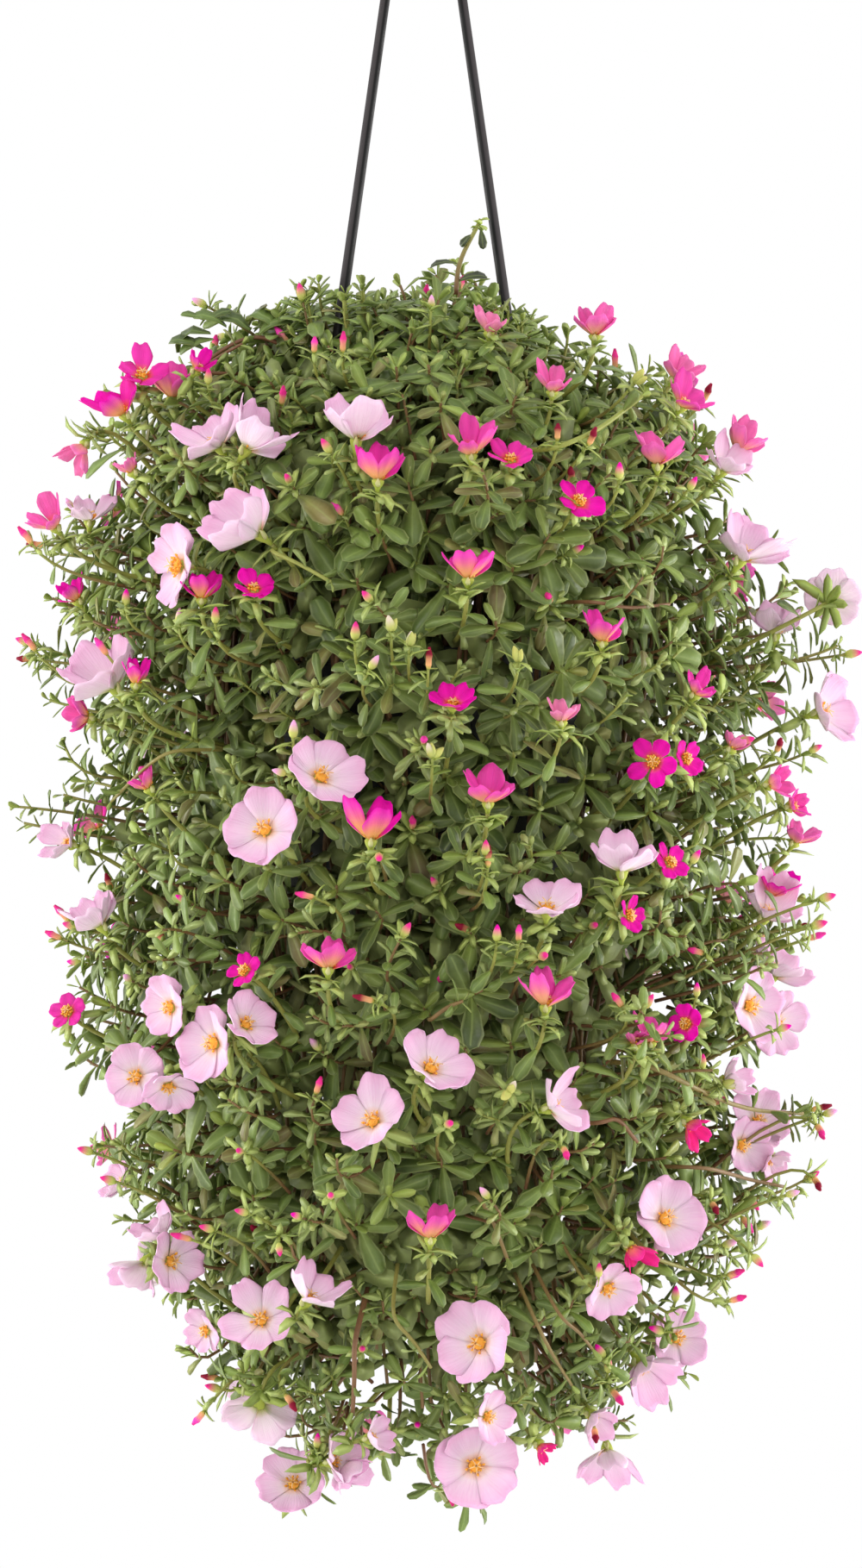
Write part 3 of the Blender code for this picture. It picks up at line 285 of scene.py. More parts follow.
# Long bare stretches of stem that show on the front: places, share outwards, radius and youth
RUNNERS = (
    (((746, 1230), (800, 1262), (861, 1290), (925, 1294)), 1.02, 0.0017, 0.35),
    (((815, 1353), (860, 1370), (905, 1380)), 1.02, 0.0014, 0.15),
    (((752, 1455), (785, 1468), (813, 1478)), 1.0, 0.0014, 0.6),
    (((404, 1553), (405, 1590), (402, 1640)), 0.92, 0.0019, 0.05),
    (((453, 1524), (478, 1548), (500, 1582)), 0.98, 0.0014, 0.55),
    (((640, 525), (690, 502), (738, 462)), 1.02, 0.0018, 0.95),
    (((215, 432), (245, 412), (272, 398)), 0.96, 0.0012, 0.0),
    (((310, 640), (345, 655), (385, 678)), 1.0, 0.0014, 0.85),
    (((652, 1525), (675, 1542), (692, 1565)), 0.98, 0.0012, 0.2),
    (((700, 1300), (722, 1292), (745, 1322)), 0.97, 0.0016, 0.05),
    (((500, 1180), (520, 1165), (540, 1158)), 0.93, 0.0014, 0.2),
    (((700, 700), (740, 708), (790, 702)), 0.95, 0.0013, 0.05),
    (((200, 870), (170, 890), (130, 930)), 1.0, 0.0012, 0.5),
    (((560, 1380), (582, 1415), (600, 1460)), 0.9, 0.0014, 0.25),
    (((630, 1535), (652, 1575), (672, 1606)), 0.95, 0.0012, 0.3),
)
# Reddish twig and broad leaves over the left of the dome: column, row, lean, length, width and curl
DOME_TWIG = ((330, 400), (300, 385), (262, 398), (225, 430), (190, 428))
DOME_LEAVES = (
    (244, 386, (-1.0, -0.1, 0.55), 0.033, 0.012, 2.4), (248, 392, (-1.0, -0.2, 0.05), 0.024, 0.009, 1.2),
    (262, 378, (-0.5, -0.5, 0.7), 0.023, 0.01, 1.6), (290, 382, (-0.6, -0.3, 0.8), 0.028, 0.0125, 1.8),
    (300, 386, (0.5, -0.4, 0.8), 0.026, 0.012, 1.9), (322, 382, (-0.4, -0.3, 0.85), 0.025, 0.0125, 2.0),
    (330, 382, (0.8, -0.2, 0.55), 0.024, 0.0115, 1.6), (238, 372, (0.6, -0.3, 0.6), 0.017, 0.007, 1.0),
    (236, 370, (-0.7, -0.3, 0.5), 0.015, 0.006, 1.0), (215, 432, (-0.9, -0.4, -0.3), 0.024, 0.0085, 0.8),
    (236, 404, (-0.7, -0.2, 0.6), 0.024, 0.01, 1.4),
)
DOME_TWIG_DEPTH = -0.045
DOME_LEAF_DEPTH = -0.047
# The one sprig that stands up beside the right strand, and its side leaves
SPRIG_DEPTH = -0.052
SPRIG = ((529, 340), (530, 322), (532, 303), (542, 282), (552, 265), (558, 252))
SPRIG_LEAVES = (
    (530, 304, (-1.0, -0.1, 0.35), 0.018, 0.0058, 1.3), (540, 292, (1.0, -0.1, 0.35), 0.016, 0.0054, 2.6),
    (531, 325, (1.0, -0.15, 0.6), 0.019, 0.008, 1.1), (548, 270, (-0.8, -0.3, -0.55), 0.01, 0.0056, 0.8),
    (558, 264, (0.15, -0.4, -1.0), 0.012, 0.0054, 0.5),
)
# Trailing stems: radius and height of their common run, from the soil over the rim and down
STEM_RUN = (
    (0.086, SOIL_Z - 0.018), (0.090, SOIL_Z + 0.035), (0.108, RIM_Z + 0.070), (0.128, -0.470),
    (0.130, -0.530), (0.124, -0.620), (0.108, -0.720), (0.092, -0.800), (0.084, -0.880), (0.082, -0.940),
)


def screen(red, green, blue):
    """A colour as it looks on a screen, 0 to 255, turned into linear light."""
    value = np.array((red, green, blue)) / 255.0
    return np.where(value <= 0.04045, value / 12.92, ((value + 0.055) / 1.055) ** 2.4)


LEAF_MATURE = screen(124, 149, 72)
# LEAF_DARK is darker than the leaves' own colour: tones near it are painted shade, deep in the bush and in
# its front hollow
LEAF_DARK = screen(28, 46, 12)
LEAF_LIGHT = screen(164, 185, 98)
LEAF_YOUNG = screen(194, 212, 96)
LEAF_BACK = screen(144, 160, 100)
LEAF_BLUSH = screen(160, 118, 86)
STEM_YOUNG = screen(160, 176, 80)
STEM_OLD = screen(132, 90, 62)
SPRIG_LEAF = screen(58, 66, 42)
PALE_EDGE = screen(236, 174, 212)
PALE_MIDDLE = screen(238, 197, 225)
PALE_THROAT = screen(243, 221, 232)
MAGENTA_EDGE = screen(224, 0, 148)
MAGENTA_MIDDLE = screen(236, 10, 164)
MAGENTA_BACK = screen(246, 70, 176)
MAGENTA_CORAL = screen(250, 116, 132)
MAGENTA_THROAT = screen(240, 84, 50)
MAGENTA_FOOT = screen(252, 176, 96)
MAGENTA_FADED = screen(251, 156, 180)
CRIMSON = screen(238, 36, 84)
CALYX = screen(172, 188, 82)
EYE = screen(253, 188, 74)
ANTHER = screen(252, 176, 54)
STIGMA = screen(252, 206, 130)
SPENT = screen(132, 20, 48)
BUD_PINK = screen(226, 52, 140)
BUD_GREEN = screen(192, 198, 108)
SALMON = screen(228, 176, 118)
BLACK_PLASTIC = screen(34, 34, 36)
POT_GREY = screen(52, 54, 56)
SOIL_BROWN = screen(58, 42, 32)
PERLITE = screen(206, 202, 190)


def unit(vectors):
    return vectors / np.linalg.norm(vectors, axis=-1, keepdims=True)


def across(axes):
    """Two unit vectors square to each direction, which make a right-handed set with it."""
    guide = np.where(np.abs(axes[..., 2:3]) < 0.9, (0.0, 0.0, 1.0), (1.0, 0.0, 0.0))
    first = unit(np.cross(axes, guide))
    return first, np.cross(axes, first)


def spoke(axes, turn):
    """A direction square to an axis, from the two side vectors of the axis."""
    return math.cos(turn) * axes[0] + math.sin(turn) * axes[1]


def around(turn, reach=1.0, z=0.0):
    """A point at a distance from the upright middle axis. A turn of 0 is the front."""
    return np.array((reach * math.sin(turn), -reach * math.cos(turn), z))


def blend(first, second, share):
    return first * (1 - share) + second * share


def smooth(low, high, value):
    share = np.clip((value - low) / (high - low), 0, 1)
    return share * share * (3 - 2 * share)


def mound(value, middle, half):
    return math.exp(-(((value - middle) / half) ** 2))


def jitter(draw, size):
    return np.array([draw.uniform(-size, size) for _ in range(3)])


def bend(start, middle, end, steps):
    """Points of a curve from start to end that leans towards a middle point."""
    t = np.linspace(0, 1, steps)[:, None]
    return (1 - t) ** 2 * start + 2 * t * (1 - t) * middle + t * t * end


def smoothed(stops, steps):
    """A smooth path of a number of steps through rough stops."""
    fine = np.linspace(0, len(stops) - 1, steps)
    path = np.stack([np.interp(fine, np.arange(len(stops)), stops[:, k]) for k in range(3)], axis=1)
    for _ in range(4):
        path[1:-1] = 0.5 * path[1:-1] + 0.25 * (path[:-2] + path[2:])
    return path


def closed_rings(rings, sides, outward):
    """Faces of a closed body through rings, with one point at each end."""
    quads = []
    tris = []
    start = rings * sides
    end = start + 1
    top = (rings - 1) * sides
    for i in range(sides):
        j = (i + 1) % sides
        for ring in range(rings - 1):
            low = ring * sides
            quads.append((low + i, low + j, low + sides + j, low + sides + i))
        tris.append((start, j, i))
        tris.append((end, top + i, top + j))
    quads = np.array(quads).reshape(-1, 4)
    tris = np.array(tris)
    return (quads, tris) if outward else (quads[:, ::-1], tris[:, ::-1])


class Gathered:
    """Points, faces and what is painted on them, gathered for one piece."""

    def __init__(self):
        self.points, self.tints, self.marks = [], [], []
        self.quads, self.tris, self.quad_slots, self.tri_slots = [], [], [], []
        self.total = 0

    def add(self, points, faces, tints, marks, slot=0):
        """Adds copies of one body: points, tints and marks are arrays of copies by points by three."""
        copies, size = points.shape[:2]
        starts = self.total + np.arange(copies)[:, None, None] * size
        for gathered, values in ((self.points, points), (self.tints, tints), (self.marks, marks)):
            gathered.append(np.broadcast_to(values, points.shape).reshape(-1, 3))
        quads, tris = faces
        self.quads.append((quads[None] + starts).reshape(-1, 4))
        self.tris.append((tris[None] + starts).reshape(-1, 3))
        self.quad_slots.append(np.full(copies * len(quads), slot))
        self.tri_slots.append(np.full(copies * len(tris), slot))
        self.total += copies * size

    def make(self, name, materials):
        """The mesh object of all that was gathered."""
        quads = np.concatenate(self.quads)
        tris = np.concatenate(self.tris)
        corners = np.concatenate((quads.ravel(), tris.ravel()))
        starts = np.concatenate((np.arange(len(quads)) * 4, 4 * len(quads) + np.arange(len(tris)) * 3))
        slots = np.concatenate(self.quad_slots + self.tri_slots)
        mesh = bpy.data.meshes.new(name)
        mesh.vertices.add(self.total)
        mesh.vertices.foreach_set("co", np.concatenate(self.points).astype(np.float32).ravel())
        mesh.loops.add(len(corners))
        mesh.loops.foreach_set("vertex_index", corners.astype(np.int32))
        mesh.polygons.add(len(starts))
        mesh.polygons.foreach_set("loop_start", starts.astype(np.int32))
        mesh.polygons.foreach_set("material_index", slots.astype(np.int32))
        mesh.update(calc_edges=True)
        mesh.shade_smooth()
        tint = np.ones((self.total, 4), np.float32)
        tint[:, :3] = np.concatenate(self.tints)
        mesh.attributes.new("tint", "FLOAT_COLOR", "POINT").data.foreach_set("color", tint.ravel())
        mark = np.concatenate(self.marks).astype(np.float32)
        mesh.attributes.new("mark", "FLOAT_VECTOR", "POINT").data.foreach_set("vector", mark.ravel())
        for material in materials:
            mesh.materials.append(material)
        made = bpy.data.objects.new(name, mesh)
        bpy.context.scene.collection.objects.link(made)
        return made


def as_arrays(leaves):
    """One array for each property of the leaves."""
    return Leaf(*(np.array(column) for column in zip(*leaves)))


def blades(into, leaves, steps, section):
    """Thin lens-shaped blades that curl away from their upper side."""
    if not leaves:
        return
    rows = as_arrays(leaves)
    share, wide = np.array(steps).T
    share = np.append(share, (0.0, 1.0))
    v, rise = np.array(section).T
    curl = np.where(np.abs(rows.curl) < 0.05, 0.05, rows.curl)[:, None]
    sine = np.sin(curl * share)[..., None]
    cosine = np.cos(curl * share)[..., None]
    along, up, side = (ways[:, None, :] for ways in (rows.along, rows.up, np.cross(rows.along, rows.up)))
    run = sine / curl[..., None]
    drop = (1 - cosine) / curl[..., None]
    centre = rows.base[:, None, :] + rows.length[:, None, None] * (run * along - drop * up)
    normal = cosine * up + sine * along
    turn = (rows.twist[:, None] * share)[..., None]
    sideways = np.cos(turn) * side + np.sin(turn) * normal
    normal = np.cos(turn) * normal - np.sin(turn) * side
    half = 0.5 * rows.width[:, None] * wide
    thick = np.clip(0.085 * rows.width, 0.0003, 0.0007)[:, None] * np.sqrt(wide)
    lift = thick[..., None] * rise + rows.cup[:, None, None] * half[..., None] * v * v
    rings = centre[:, :-2, None, :] + (half[..., None] * v)[..., None] * sideways[:, :-2, None, :]
    rings = rings + lift[..., None] * normal[:, :-2, None, :]
    points = np.concatenate((rings.reshape(len(leaves), -1, 3), centre[:, -2:, :]), axis=1)
    sides = len(section)
    at = np.concatenate((np.repeat(share[:-2], sides), share[-2:]))
    below = np.concatenate((np.tile(rise < 0, len(steps)), (False, False)))
    young = (np.clip(1 - at / 0.55, 0, 1) * 0.5)[None, :, None]
    tints = rows.tint[:, None, :] * (1 - young) + rows.foot[:, None, :] * young
    tints = np.where(below[None, :, None], 0.45 * tints + 0.55 * LEAF_BACK, tints)
    from_rib = np.concatenate((np.tile(np.abs(v), len(steps)), (1.0, 1.0)))
    marks = np.stack((at, from_rib, np.where(below, 0.0, 1.0)), axis=1)[None]
    into.add(points, closed_rings(len(steps), sides, False), tints, marks)


def tubes(into, paths, radii, sides, tints, slot=1):
    """Round bodies along paths, an array of bodies by points by three."""
    paths = np.asarray(paths, dtype=float)
    if paths.ndim == 2:
        paths = paths[None]
    count, steps = paths.shape[:2]
    radii = np.broadcast_to(radii, (count, steps))
    heading = unit(np.gradient(paths, axis=1))
    mean = unit(paths[:, -1] - paths[:, 0] + 1e-9)
    guide = across(mean)[0][:, None, :]
    first = unit(guide - (guide * heading).sum(-1, keepdims=True) * heading)
    second = np.cross(heading, first)
    turn = (np.arange(sides) * math.tau / sides)[:, None]
    ring = np.cos(turn) * first[:, :, None, :] + np.sin(turn) * second[:, :, None, :]
    points = (paths[:, :, None, :] + radii[..., None, None] * ring).reshape(count, -1, 3)
    points = np.concatenate((points, paths[:, :1], paths[:, -1:]), axis=1)
    tints = np.broadcast_to(tints, (count, steps, 3))
    tints = np.concatenate((np.repeat(tints, sides, axis=1), tints[:, :1], tints[:, -1:]), axis=1)
    marks = np.zeros((1, points.shape[1], 3))
    marks[0, :, 0] = np.concatenate((np.repeat(np.linspace(0, 1, steps), sides), (0.0, 1.0)))
    into.add(points, closed_rings(steps, sides, True), tints, marks, slot)


def petal_faces(rows, columns):
    """Faces of a thin curved sheet: its top, its back and its rim."""
    size = rows * columns
    quads = []
    for i in range(rows - 1):
        for j in range(columns - 1):
            a = i * columns + j
            quads.append((a, a + columns, a + columns + 1, a + 1))
            quads.append((size + a, size + a + 1, size + a + columns + 1, size + a + columns))
        a = i * columns
        b = a + columns - 1
        quads.append((a, size + a, size + a + columns, a + columns))
        quads.append((b + columns, size + b + columns, size + b, b))
    for j in range(columns - 1):
        a = (rows - 1) * columns + j
        quads.append((a, size + a, size + a + 1, a + 1))
        quads.append((j + 1, size + j + 1, size + j, j))
    return np.array(quads), np.zeros((0, 3), int)


def layered(colour, s, *layers):
    """A colour that passes into further colours along a petal: each from one share to another."""
    for over, low, high in layers:
        colour = blend(colour, over, smooth(low, high, s))
    return colour


def petal_tint(magenta, s, back, tone):
    """Colours along a petal from its foot to its edge, on its face or on its back."""
    s = s[..., None]
    if not magenta:
        if back:
            # The pale back is kept light, in throat and middle colours: partly its own paler colour, partly
            # painted light that stands in for light shining through the thin petal
            tint = layered(CALYX, s, (PALE_THROAT, 0.10, 0.34))
            return blend(tint, PALE_MIDDLE, 0.8 * smooth(0.30, 0.95, s))
        return layered(EYE, s, (PALE_THROAT, 0.06, 0.27), (PALE_MIDDLE, 0.24, 0.55), (PALE_EDGE, 0.55, 1.0))
    if back:
        tint = layered(MAGENTA_FOOT, s, (MAGENTA_CORAL, 0.32, 0.56), (MAGENTA_BACK, 0.54, 0.78))
        tint = layered(tint, s, (MAGENTA_MIDDLE, 0.74, 0.96))
        faded = 0.75 * tone
    else:
        tint = layered(MAGENTA_THROAT, s, (MAGENTA_MIDDLE, 0.22, 0.46), (MAGENTA_EDGE, 0.50, 1.0))
        faded = 0.65 * tone * smooth(0.0, 0.5, s)
    return blend(tint, CRIMSON, 0.6) if tone < 0 else blend(tint, MAGENTA_FADED, faded)


def petal_sheet(zone, form, s, w, turn, loose, inner_curve, draw):
    """The upper face of one petal, and how far its folds stand up from side to side."""
    axes = across(zone.axis)
    notch = draw.uniform(0.0, 0.09)
    round_end = form.rounding * (1 - np.sqrt(1 - 0.96 * w * w))
    reach = s * (1 - round_end * s - notch * np.exp(-(((w - 0.1) / 0.3) ** 2)) * s**3)
    reach = reach * (1 + (0.05 + 0.07 * loose) * draw.uniform(-1, 1))
    wide_share = blend(1.04, 0.78, loose) * draw.uniform(0.90, 1.10)
    half = form.spread * (1 - (1 - s) ** 1.5) * (1 - 0.28 * s**3) * wide_share
    cup = zone.cup * (1 + form.vary * draw.uniform(-1, 1))
    tilt = draw.uniform(0.06, 0.17)
    rise = cup * reach * (0.84 + 0.16 * reach)
    rise = rise + tilt * w * s * (1.1 - 0.5 * s) + 0.14 * w * w * s * draw.uniform(-0.5, 1.0)
    phase = draw.uniform(0, math.tau)
    fold = np.sin(1.7 * math.pi * w + phase)
    rise = rise + form.ruffle * 0.042 * s**1.5 * fold
    rise = rise + form.ruffle * 0.008 * s**4 * np.sin(3.1 * math.pi * w + 2 * phase)
    edge = 1 + form.ruffle * 0.009 * s**5 * np.sin(2.2 * math.pi * w + phase)
    place = (reach * (edge - inner_curve * cup * s * s))[..., None] * spoke(axes, turn)
    place = place + (half * w)[..., None] * spoke(axes, turn + math.pi / 2)
    return zone.base + zone.radius * (place + rise[..., None] * zone.axis), fold


def petals(into, zone, form, magenta, tone, draw):
    """Five overlapping petals with waved, slightly notched edges and soft folds from foot to edge, with
    painted shade in the folds.
    """
    grid = (form.rows, form.columns)
    s = np.linspace(0.04, 1, form.rows)[:, None]
    w = np.linspace(-1, 1, form.columns)[None, :]
    along = np.broadcast_to(s, grid)
    sideways = np.broadcast_to(w, grid)
    spin = draw.uniform(0, math.tau)
    loose = draw.uniform(0, 1) ** 1.15
    # depth sets the strength of each petal's random tone and of the painted fold shade
    inner_curve, depth = (0.06, 0.13) if magenta else (0.15, 0.035)
    for petal in range(5):
        turn = spin + math.tau * (petal + draw.uniform(-0.11, 0.11)) / 5
        face, fold = petal_sheet(zone, form, s, w, turn, loose, inner_curve, draw)
        normal = unit(np.cross(np.gradient(face, axis=0), np.gradient(face, axis=1)))
        points = np.stack((face, face - normal * PETAL_THICKNESS)).reshape(1, -1, 3)
        # Painted shade and light: a random tone per petal, then darker in the hollows of the folds and
        # lighter on their ridges
        shade = 1.0 - draw.uniform(-0.5, 1.2) * depth + depth * (fold * s)[..., None]
        tints = np.stack([petal_tint(magenta, along, back, tone) * shade for back in (False, True)])
        tints = np.clip(tints, 0, 1).reshape(1, -1, 3)
        mark = np.stack((along, sideways + 3 * petal, np.ones(grid)), axis=-1).reshape(-1, 3)
        into.add(points, petal_faces(*grid), tints, np.tile(mark, (2, 1))[None])


def stamens(into, base, axis, radius, count, draw):
    """A bunch of stamens round a star-shaped stigma."""
    axes = across(axis)
    paths = []
    for i in range(count):
        out = spoke(axes, i * GOLDEN_TURN)
        lean = 0.10 + math.sqrt((i + 0.5) / count) * 0.85
        long = radius * draw.uniform(0.19, 0.27)
        foot = base + out * radius * 0.06 * lean
        heading = unit(axis + out * lean)
        top = foot + heading * long
        paths.append((foot, foot + heading * long * 0.8, top, top + heading * 0.0013))
    tubes(into, paths, (0.00035, 0.00040, 0.00105, 0.0004), 3, (EYE, EYE, ANTHER, EYE), 0)
    arms = []
    top = base + axis * radius * 0.24
    for i in range(5):
        out = spoke(axes, math.tau * i / 5 + 0.3)
        tip = top + axis * radius * 0.13 + out * radius * 0.19
        arms.append((top, top + axis * radius * 0.10 + out * radius * 0.06, tip))
    tubes(into, arms, (0.0005, 0.00045, 0.0003), 3, STIGMA, 0)
    dome = base + axis * (radius * np.array((0.07, 0.12, 0.17, 0.21)))[:, None]
    tubes(into, dome, radius * np.array((0.05, 0.15, 0.13, 0.05)), 8, EYE, 0)


def calyx(into, base, axis, radius, cup):
    """The swelling under a bloom, on the upper end of its stalk, with two sepals."""
    path = base + axis * (radius * np.array((-0.36, -0.22, -0.08, 0.03, 0.12)))[:, None]
    tubes(into, path, (0.0012, 0.0017, 0.0032, 0.0038, 0.0026), 7, CALYX, 0)
    first = across(axis)[0]
    for side in (-first, first):
        slope = unit(side + axis * (1.1 * cup - 0.25))
        foot = base - axis * radius * 0.12 + side * 0.0020
        tip = base + slope * radius * 0.42 - axis * 0.0016
        path = bend(foot, 0.5 * (foot + tip) - axis * 0.0008 + side * 0.0016, tip, 5)
        tubes(into, path, (0.0010, 0.0016, 0.0016, 0.0011, 0.0003), 5, blend(CALYX, PALE_THROAT, 0.2), 0)


def whorl(leaves, place, axis, count, length, width, curl, draw):
    """Narrow leaves round a stalk, close under a bloom or bud."""
    axes = across(axis)
    spin = draw.uniform(0, math.tau)
    for i in range(count):
        out = spoke(axes, spin + math.tau * (i + draw.uniform(-0.2, 0.2)) / count)
        along = unit(out + axis * draw.uniform(-0.2, 0.9))
        up = unit(axis - along * float(axis @ along))
        tint = blend(LEAF_MATURE, LEAF_YOUNG, draw.uniform(0.2, 0.95)) * draw.uniform(0.85, 1.1)
        base = place - axis * draw.uniform(0, 0.006)
        long = length * draw.uniform(0.55, 1.15)
        wide = width * draw.uniform(0.75, 1.15)
        bent = curl * draw.uniform(0.2, 1.6)
        twist = draw.uniform(-0.5, 0.5)
        leaves.append(Leaf(base, along, up, long, wide, bent, tint, LEAF_YOUNG, 0.3, twist))


def leaf_tint(tone, fresh, draw):
    """The colour of one leaf: darker or lighter by its tone, which also carries painted shade and painted
    light, at times with a blush, and younger near the tip.
    """
    tint = blend(blend(LEAF_DARK, LEAF_MATURE, tone), LEAF_LIGHT, draw.uniform(0, 0.35))
    if draw.random() < 0.10:
        tint = blend(tint, LEAF_BLUSH, 0.50)
    return blend(tint, LEAF_YOUNG, fresh * draw.uniform(0.45, 0.95)) * draw.uniform(0.58, 1.06)


def leafy_path(leaves, path, count, size, low_share, draw, tone, style=0.3):
    """Leaves in a spiral along a stem: spread and curled low down, upright and small at its tip.

    The style goes from 0, broad and flat, to 1, narrow and curled.
    """
    steps = len(path)
    spin = draw.uniform(0, math.tau)
    for i in range(count):
        rank = i / max(count - 1, 1)
        at = (low_share + (1 - low_share) * rank**0.75) * (steps - 1)
        low = min(int(at), steps - 2)
        place = path[low] + (path[low + 1] - path[low]) * (at - low)
        axis = unit(path[low + 1] - path[low])
        out = spoke(across(axis), spin + i * GOLDEN_TURN + draw.uniform(-0.4, 0.4))
        angle = math.radians(blend(92, 34, rank**1.3) + draw.uniform(-18, 18))
        along = math.sin(angle) * out + math.cos(angle) * axis
        up = math.sin(angle) * axis - math.cos(angle) * out
        grow = blend(0.80, 1.08, rank / 0.35) if rank < 0.35 else blend(1.08, 0.36, (rank - 0.35) / 0.65)
        length = size * grow * draw.uniform(0.85, 1.15)
        fresh = max(0.0, rank - 0.48) / 0.52 * min(1.0, tone + 0.30)
        tint = leaf_tint(tone, fresh, draw)
        foot = blend(LEAF_LIGHT, LEAF_YOUNG, 0.3 + 0.7 * fresh)
        curl = blend(1.0, 0.2, rank) * (0.5 + 0.9 * style) * draw.uniform(0.2, 1.4)
        width = max(length * blend(0.46, 0.27, style) * draw.uniform(0.82, 1.15), 0.0040)
        leaves.append(Leaf(place, along, up, length, width, curl, tint, foot, 0.25, draw.uniform(-0.5, 0.5)))


class Zones:
    """The space before each bloom's face, which leaves keep out of."""

    def __init__(self, blooms):
        self.base, self.axis, self.radius, self.cup = (np.array(column) for column in zip(*blooms))

    def clear(self, points, before=0.026):
        """True for each point that is in no bloom's space."""
        apart = points[:, None, :] - self.base[None]
        height = (apart * self.axis).sum(-1)
        reach = np.linalg.norm(apart - height[..., None] * self.axis, axis=-1)
        inside = (reach < self.radius + 0.0012) & (height < before)
        inside &= height > self.cup * reach * 0.8 - 0.003
        return ~inside.any(1)

    def keep(self, leaves):
        """The leaves that stay clear of blooms, pot and strands."""
        if not leaves:
            return leaves
        rows = as_arrays(leaves)
        reach = rows.along * rows.length[:, None]
        up = rows.up * rows.length[:, None] * rows.curl[:, None]
        good = clear_of_hanger(rows.base)
        for share, drop in ((0.5, 0.12), (0.9, 0.40)):
            places = rows.base + reach * share - up * drop
            good &= self.clear(places) & clear_of_hanger(places)
        return [leaf for leaf, kept in zip(leaves, good) if kept]


def strand_radius(z):
    """Distance of the strands from the middle axis at a height."""
    return STRAND_TOP_R + (HUB_TOP_Z - z) * STRAND_SLOPE


def strand_point(degrees, z):
    return around(math.radians(degrees), strand_radius(z), z)


def clear_of_hanger(places):
    """True for each place that is outside the pot, its soil and the strands."""
    r = np.hypot(places[:, 0], places[:, 1])
    z = places[:, 2]
    in_pot = (z < RIM_Z + 0.002) & (z > POT_BASE_Z - 0.004) & (r < WALL_TOP_RADIUS + 0.004)
    in_pot |= (np.abs(z - RIM_Z + 0.005) < 0.008) & (r < RIM_RADIUS + 0.003)
    near = np.zeros(len(places), bool)
    for degrees in STRAND_AZIMUTHS:
        turn = math.radians(degrees)
        far = strand_radius(z)
        apart = np.hypot(places[:, 0] - far * math.sin(turn), places[:, 1] + far * math.cos(turn))
        near |= (apart < 0.0042) & (z > RIM_Z - 0.01)
    return ~(in_pot | near)


def bush_radius(z):
    heights, radii = np.array(BUSH_OUTLINE).T
    return float(np.interp(-z, -heights, radii))


def picture_place(column, row, depth=None, least=LEAST_DEPTH):
    """A point of the front view, on the bush's near side unless a depth is given."""
    x = (column - PICTURE_MIDDLE_COLUMN) * METRES_PER_PIXEL
    z = (PICTURE_HOOK_ROW - row) * METRES_PER_PIXEL
    if depth is None:
        reach = bush_radius(z) * 0.97
        depth = -math.sqrt(max(reach * reach - x * x, least * least))
    return np.array((x, depth, z))


def clump_at(place):
    """The name of the spray or quarter of the crown that a point belongs to."""
    turn = math.atan2(place[0], -place[1]) % math.tau
    if math.hypot(place[0], place[1]) > CROWN_OUTER_R or place[2] < CROWN_LOWEST_Z:
        return f"spray_{int(turn / math.tau * SPRAYS) % SPRAYS + 1:02d}"
    return CROWNS[int((turn + math.pi / 4) / (math.pi / 2)) % 4]


def inner_root(place, share, drop):
    """A point inside the bush from which a stem reaches a place."""
    root = np.array(place, dtype=float)
    root[:2] *= share
    root[2] -= drop if place[2] > LOW_Z else -0.030
    if root[2] > -0.40:
        root[2] = min(root[2], place[2] - 0.030)
    return root


class Plant:
    """What each clump gathers: its leaves, its stems and its blooms."""

    def __init__(self):
        names = [f"spray_{i + 1:02d}" for i in range(SPRAYS)] + list(CROWNS)
        self.leaves, self.inner, self.narrow = ({name: [] for name in names} for _ in range(3))
        self.green, self.blooms = ({name: Gathered() for name in names} for _ in range(2))
        self.zones = []

    def stem(self, name, path, thick, thin, young, sides=5):
        share = np.linspace(0, 1, len(path))
        tints = blend(STEM_OLD, STEM_YOUNG, (np.clip(share * 1.2, 0, 1) * young)[:, None])
        tubes(self.green[name], path, thick + (thin - thick) * share, sides, tints)


def cup_of(bloom, magenta):
    """How deep a bloom is: its rise over its radius."""
    if not isinstance(bloom.facing, str):
        return 0.30 if magenta else 0.50
    if bloom.facing == "front_up":
        return 0.60
    if bloom.facing.startswith("front"):
        return 0.24 if magenta else 0.45
    if bloom.facing.startswith("side"):
        return 0.45
    if bloom.facing in ("away", "away_down", "edge_left"):
        return 0.35
    if magenta:
        return 1.00 if bloom.width >= 56 else 1.15
    return 0.90


def front_depth(row):
    """The least depth of a magenta bloom or bud near the outline, spread by its row."""
    return LEAST_DEPTH + DEPTH_SPREAD * (row * 0.37 % 1.0)


def bloom_frame(bloom, magenta):
    """Where a bloom's base is, which way it faces and how wide it opens."""
    cup = cup_of(bloom, magenta)
    wider = 1.04 if magenta else 1.09 + 0.12 * min(cup, 1.0)
    radius = bloom.width * METRES_PER_PIXEL / 2 * wider
    deep = 0.45
    if isinstance(bloom.facing, str):
        axis = unit(np.array(FACINGS[bloom.facing]))
    else:
        deep = 0.90
        lean = np.array(bloom.facing) / (0.5 * bloom.width * max(cup, 0.5))
        lean = lean * min(1.0, MOST_LEAN / (np.linalg.norm(lean) + 1e-6))
        axis = np.array((-lean[0], -math.sqrt(1 - lean @ lean), lean[1]))
    least = front_depth(bloom.row) if magenta else LEAST_DEPTH
    place = picture_place(bloom.column, bloom.row, least=least)
    return Zone(place - axis * radius * deep * cup, axis, radius, cup)


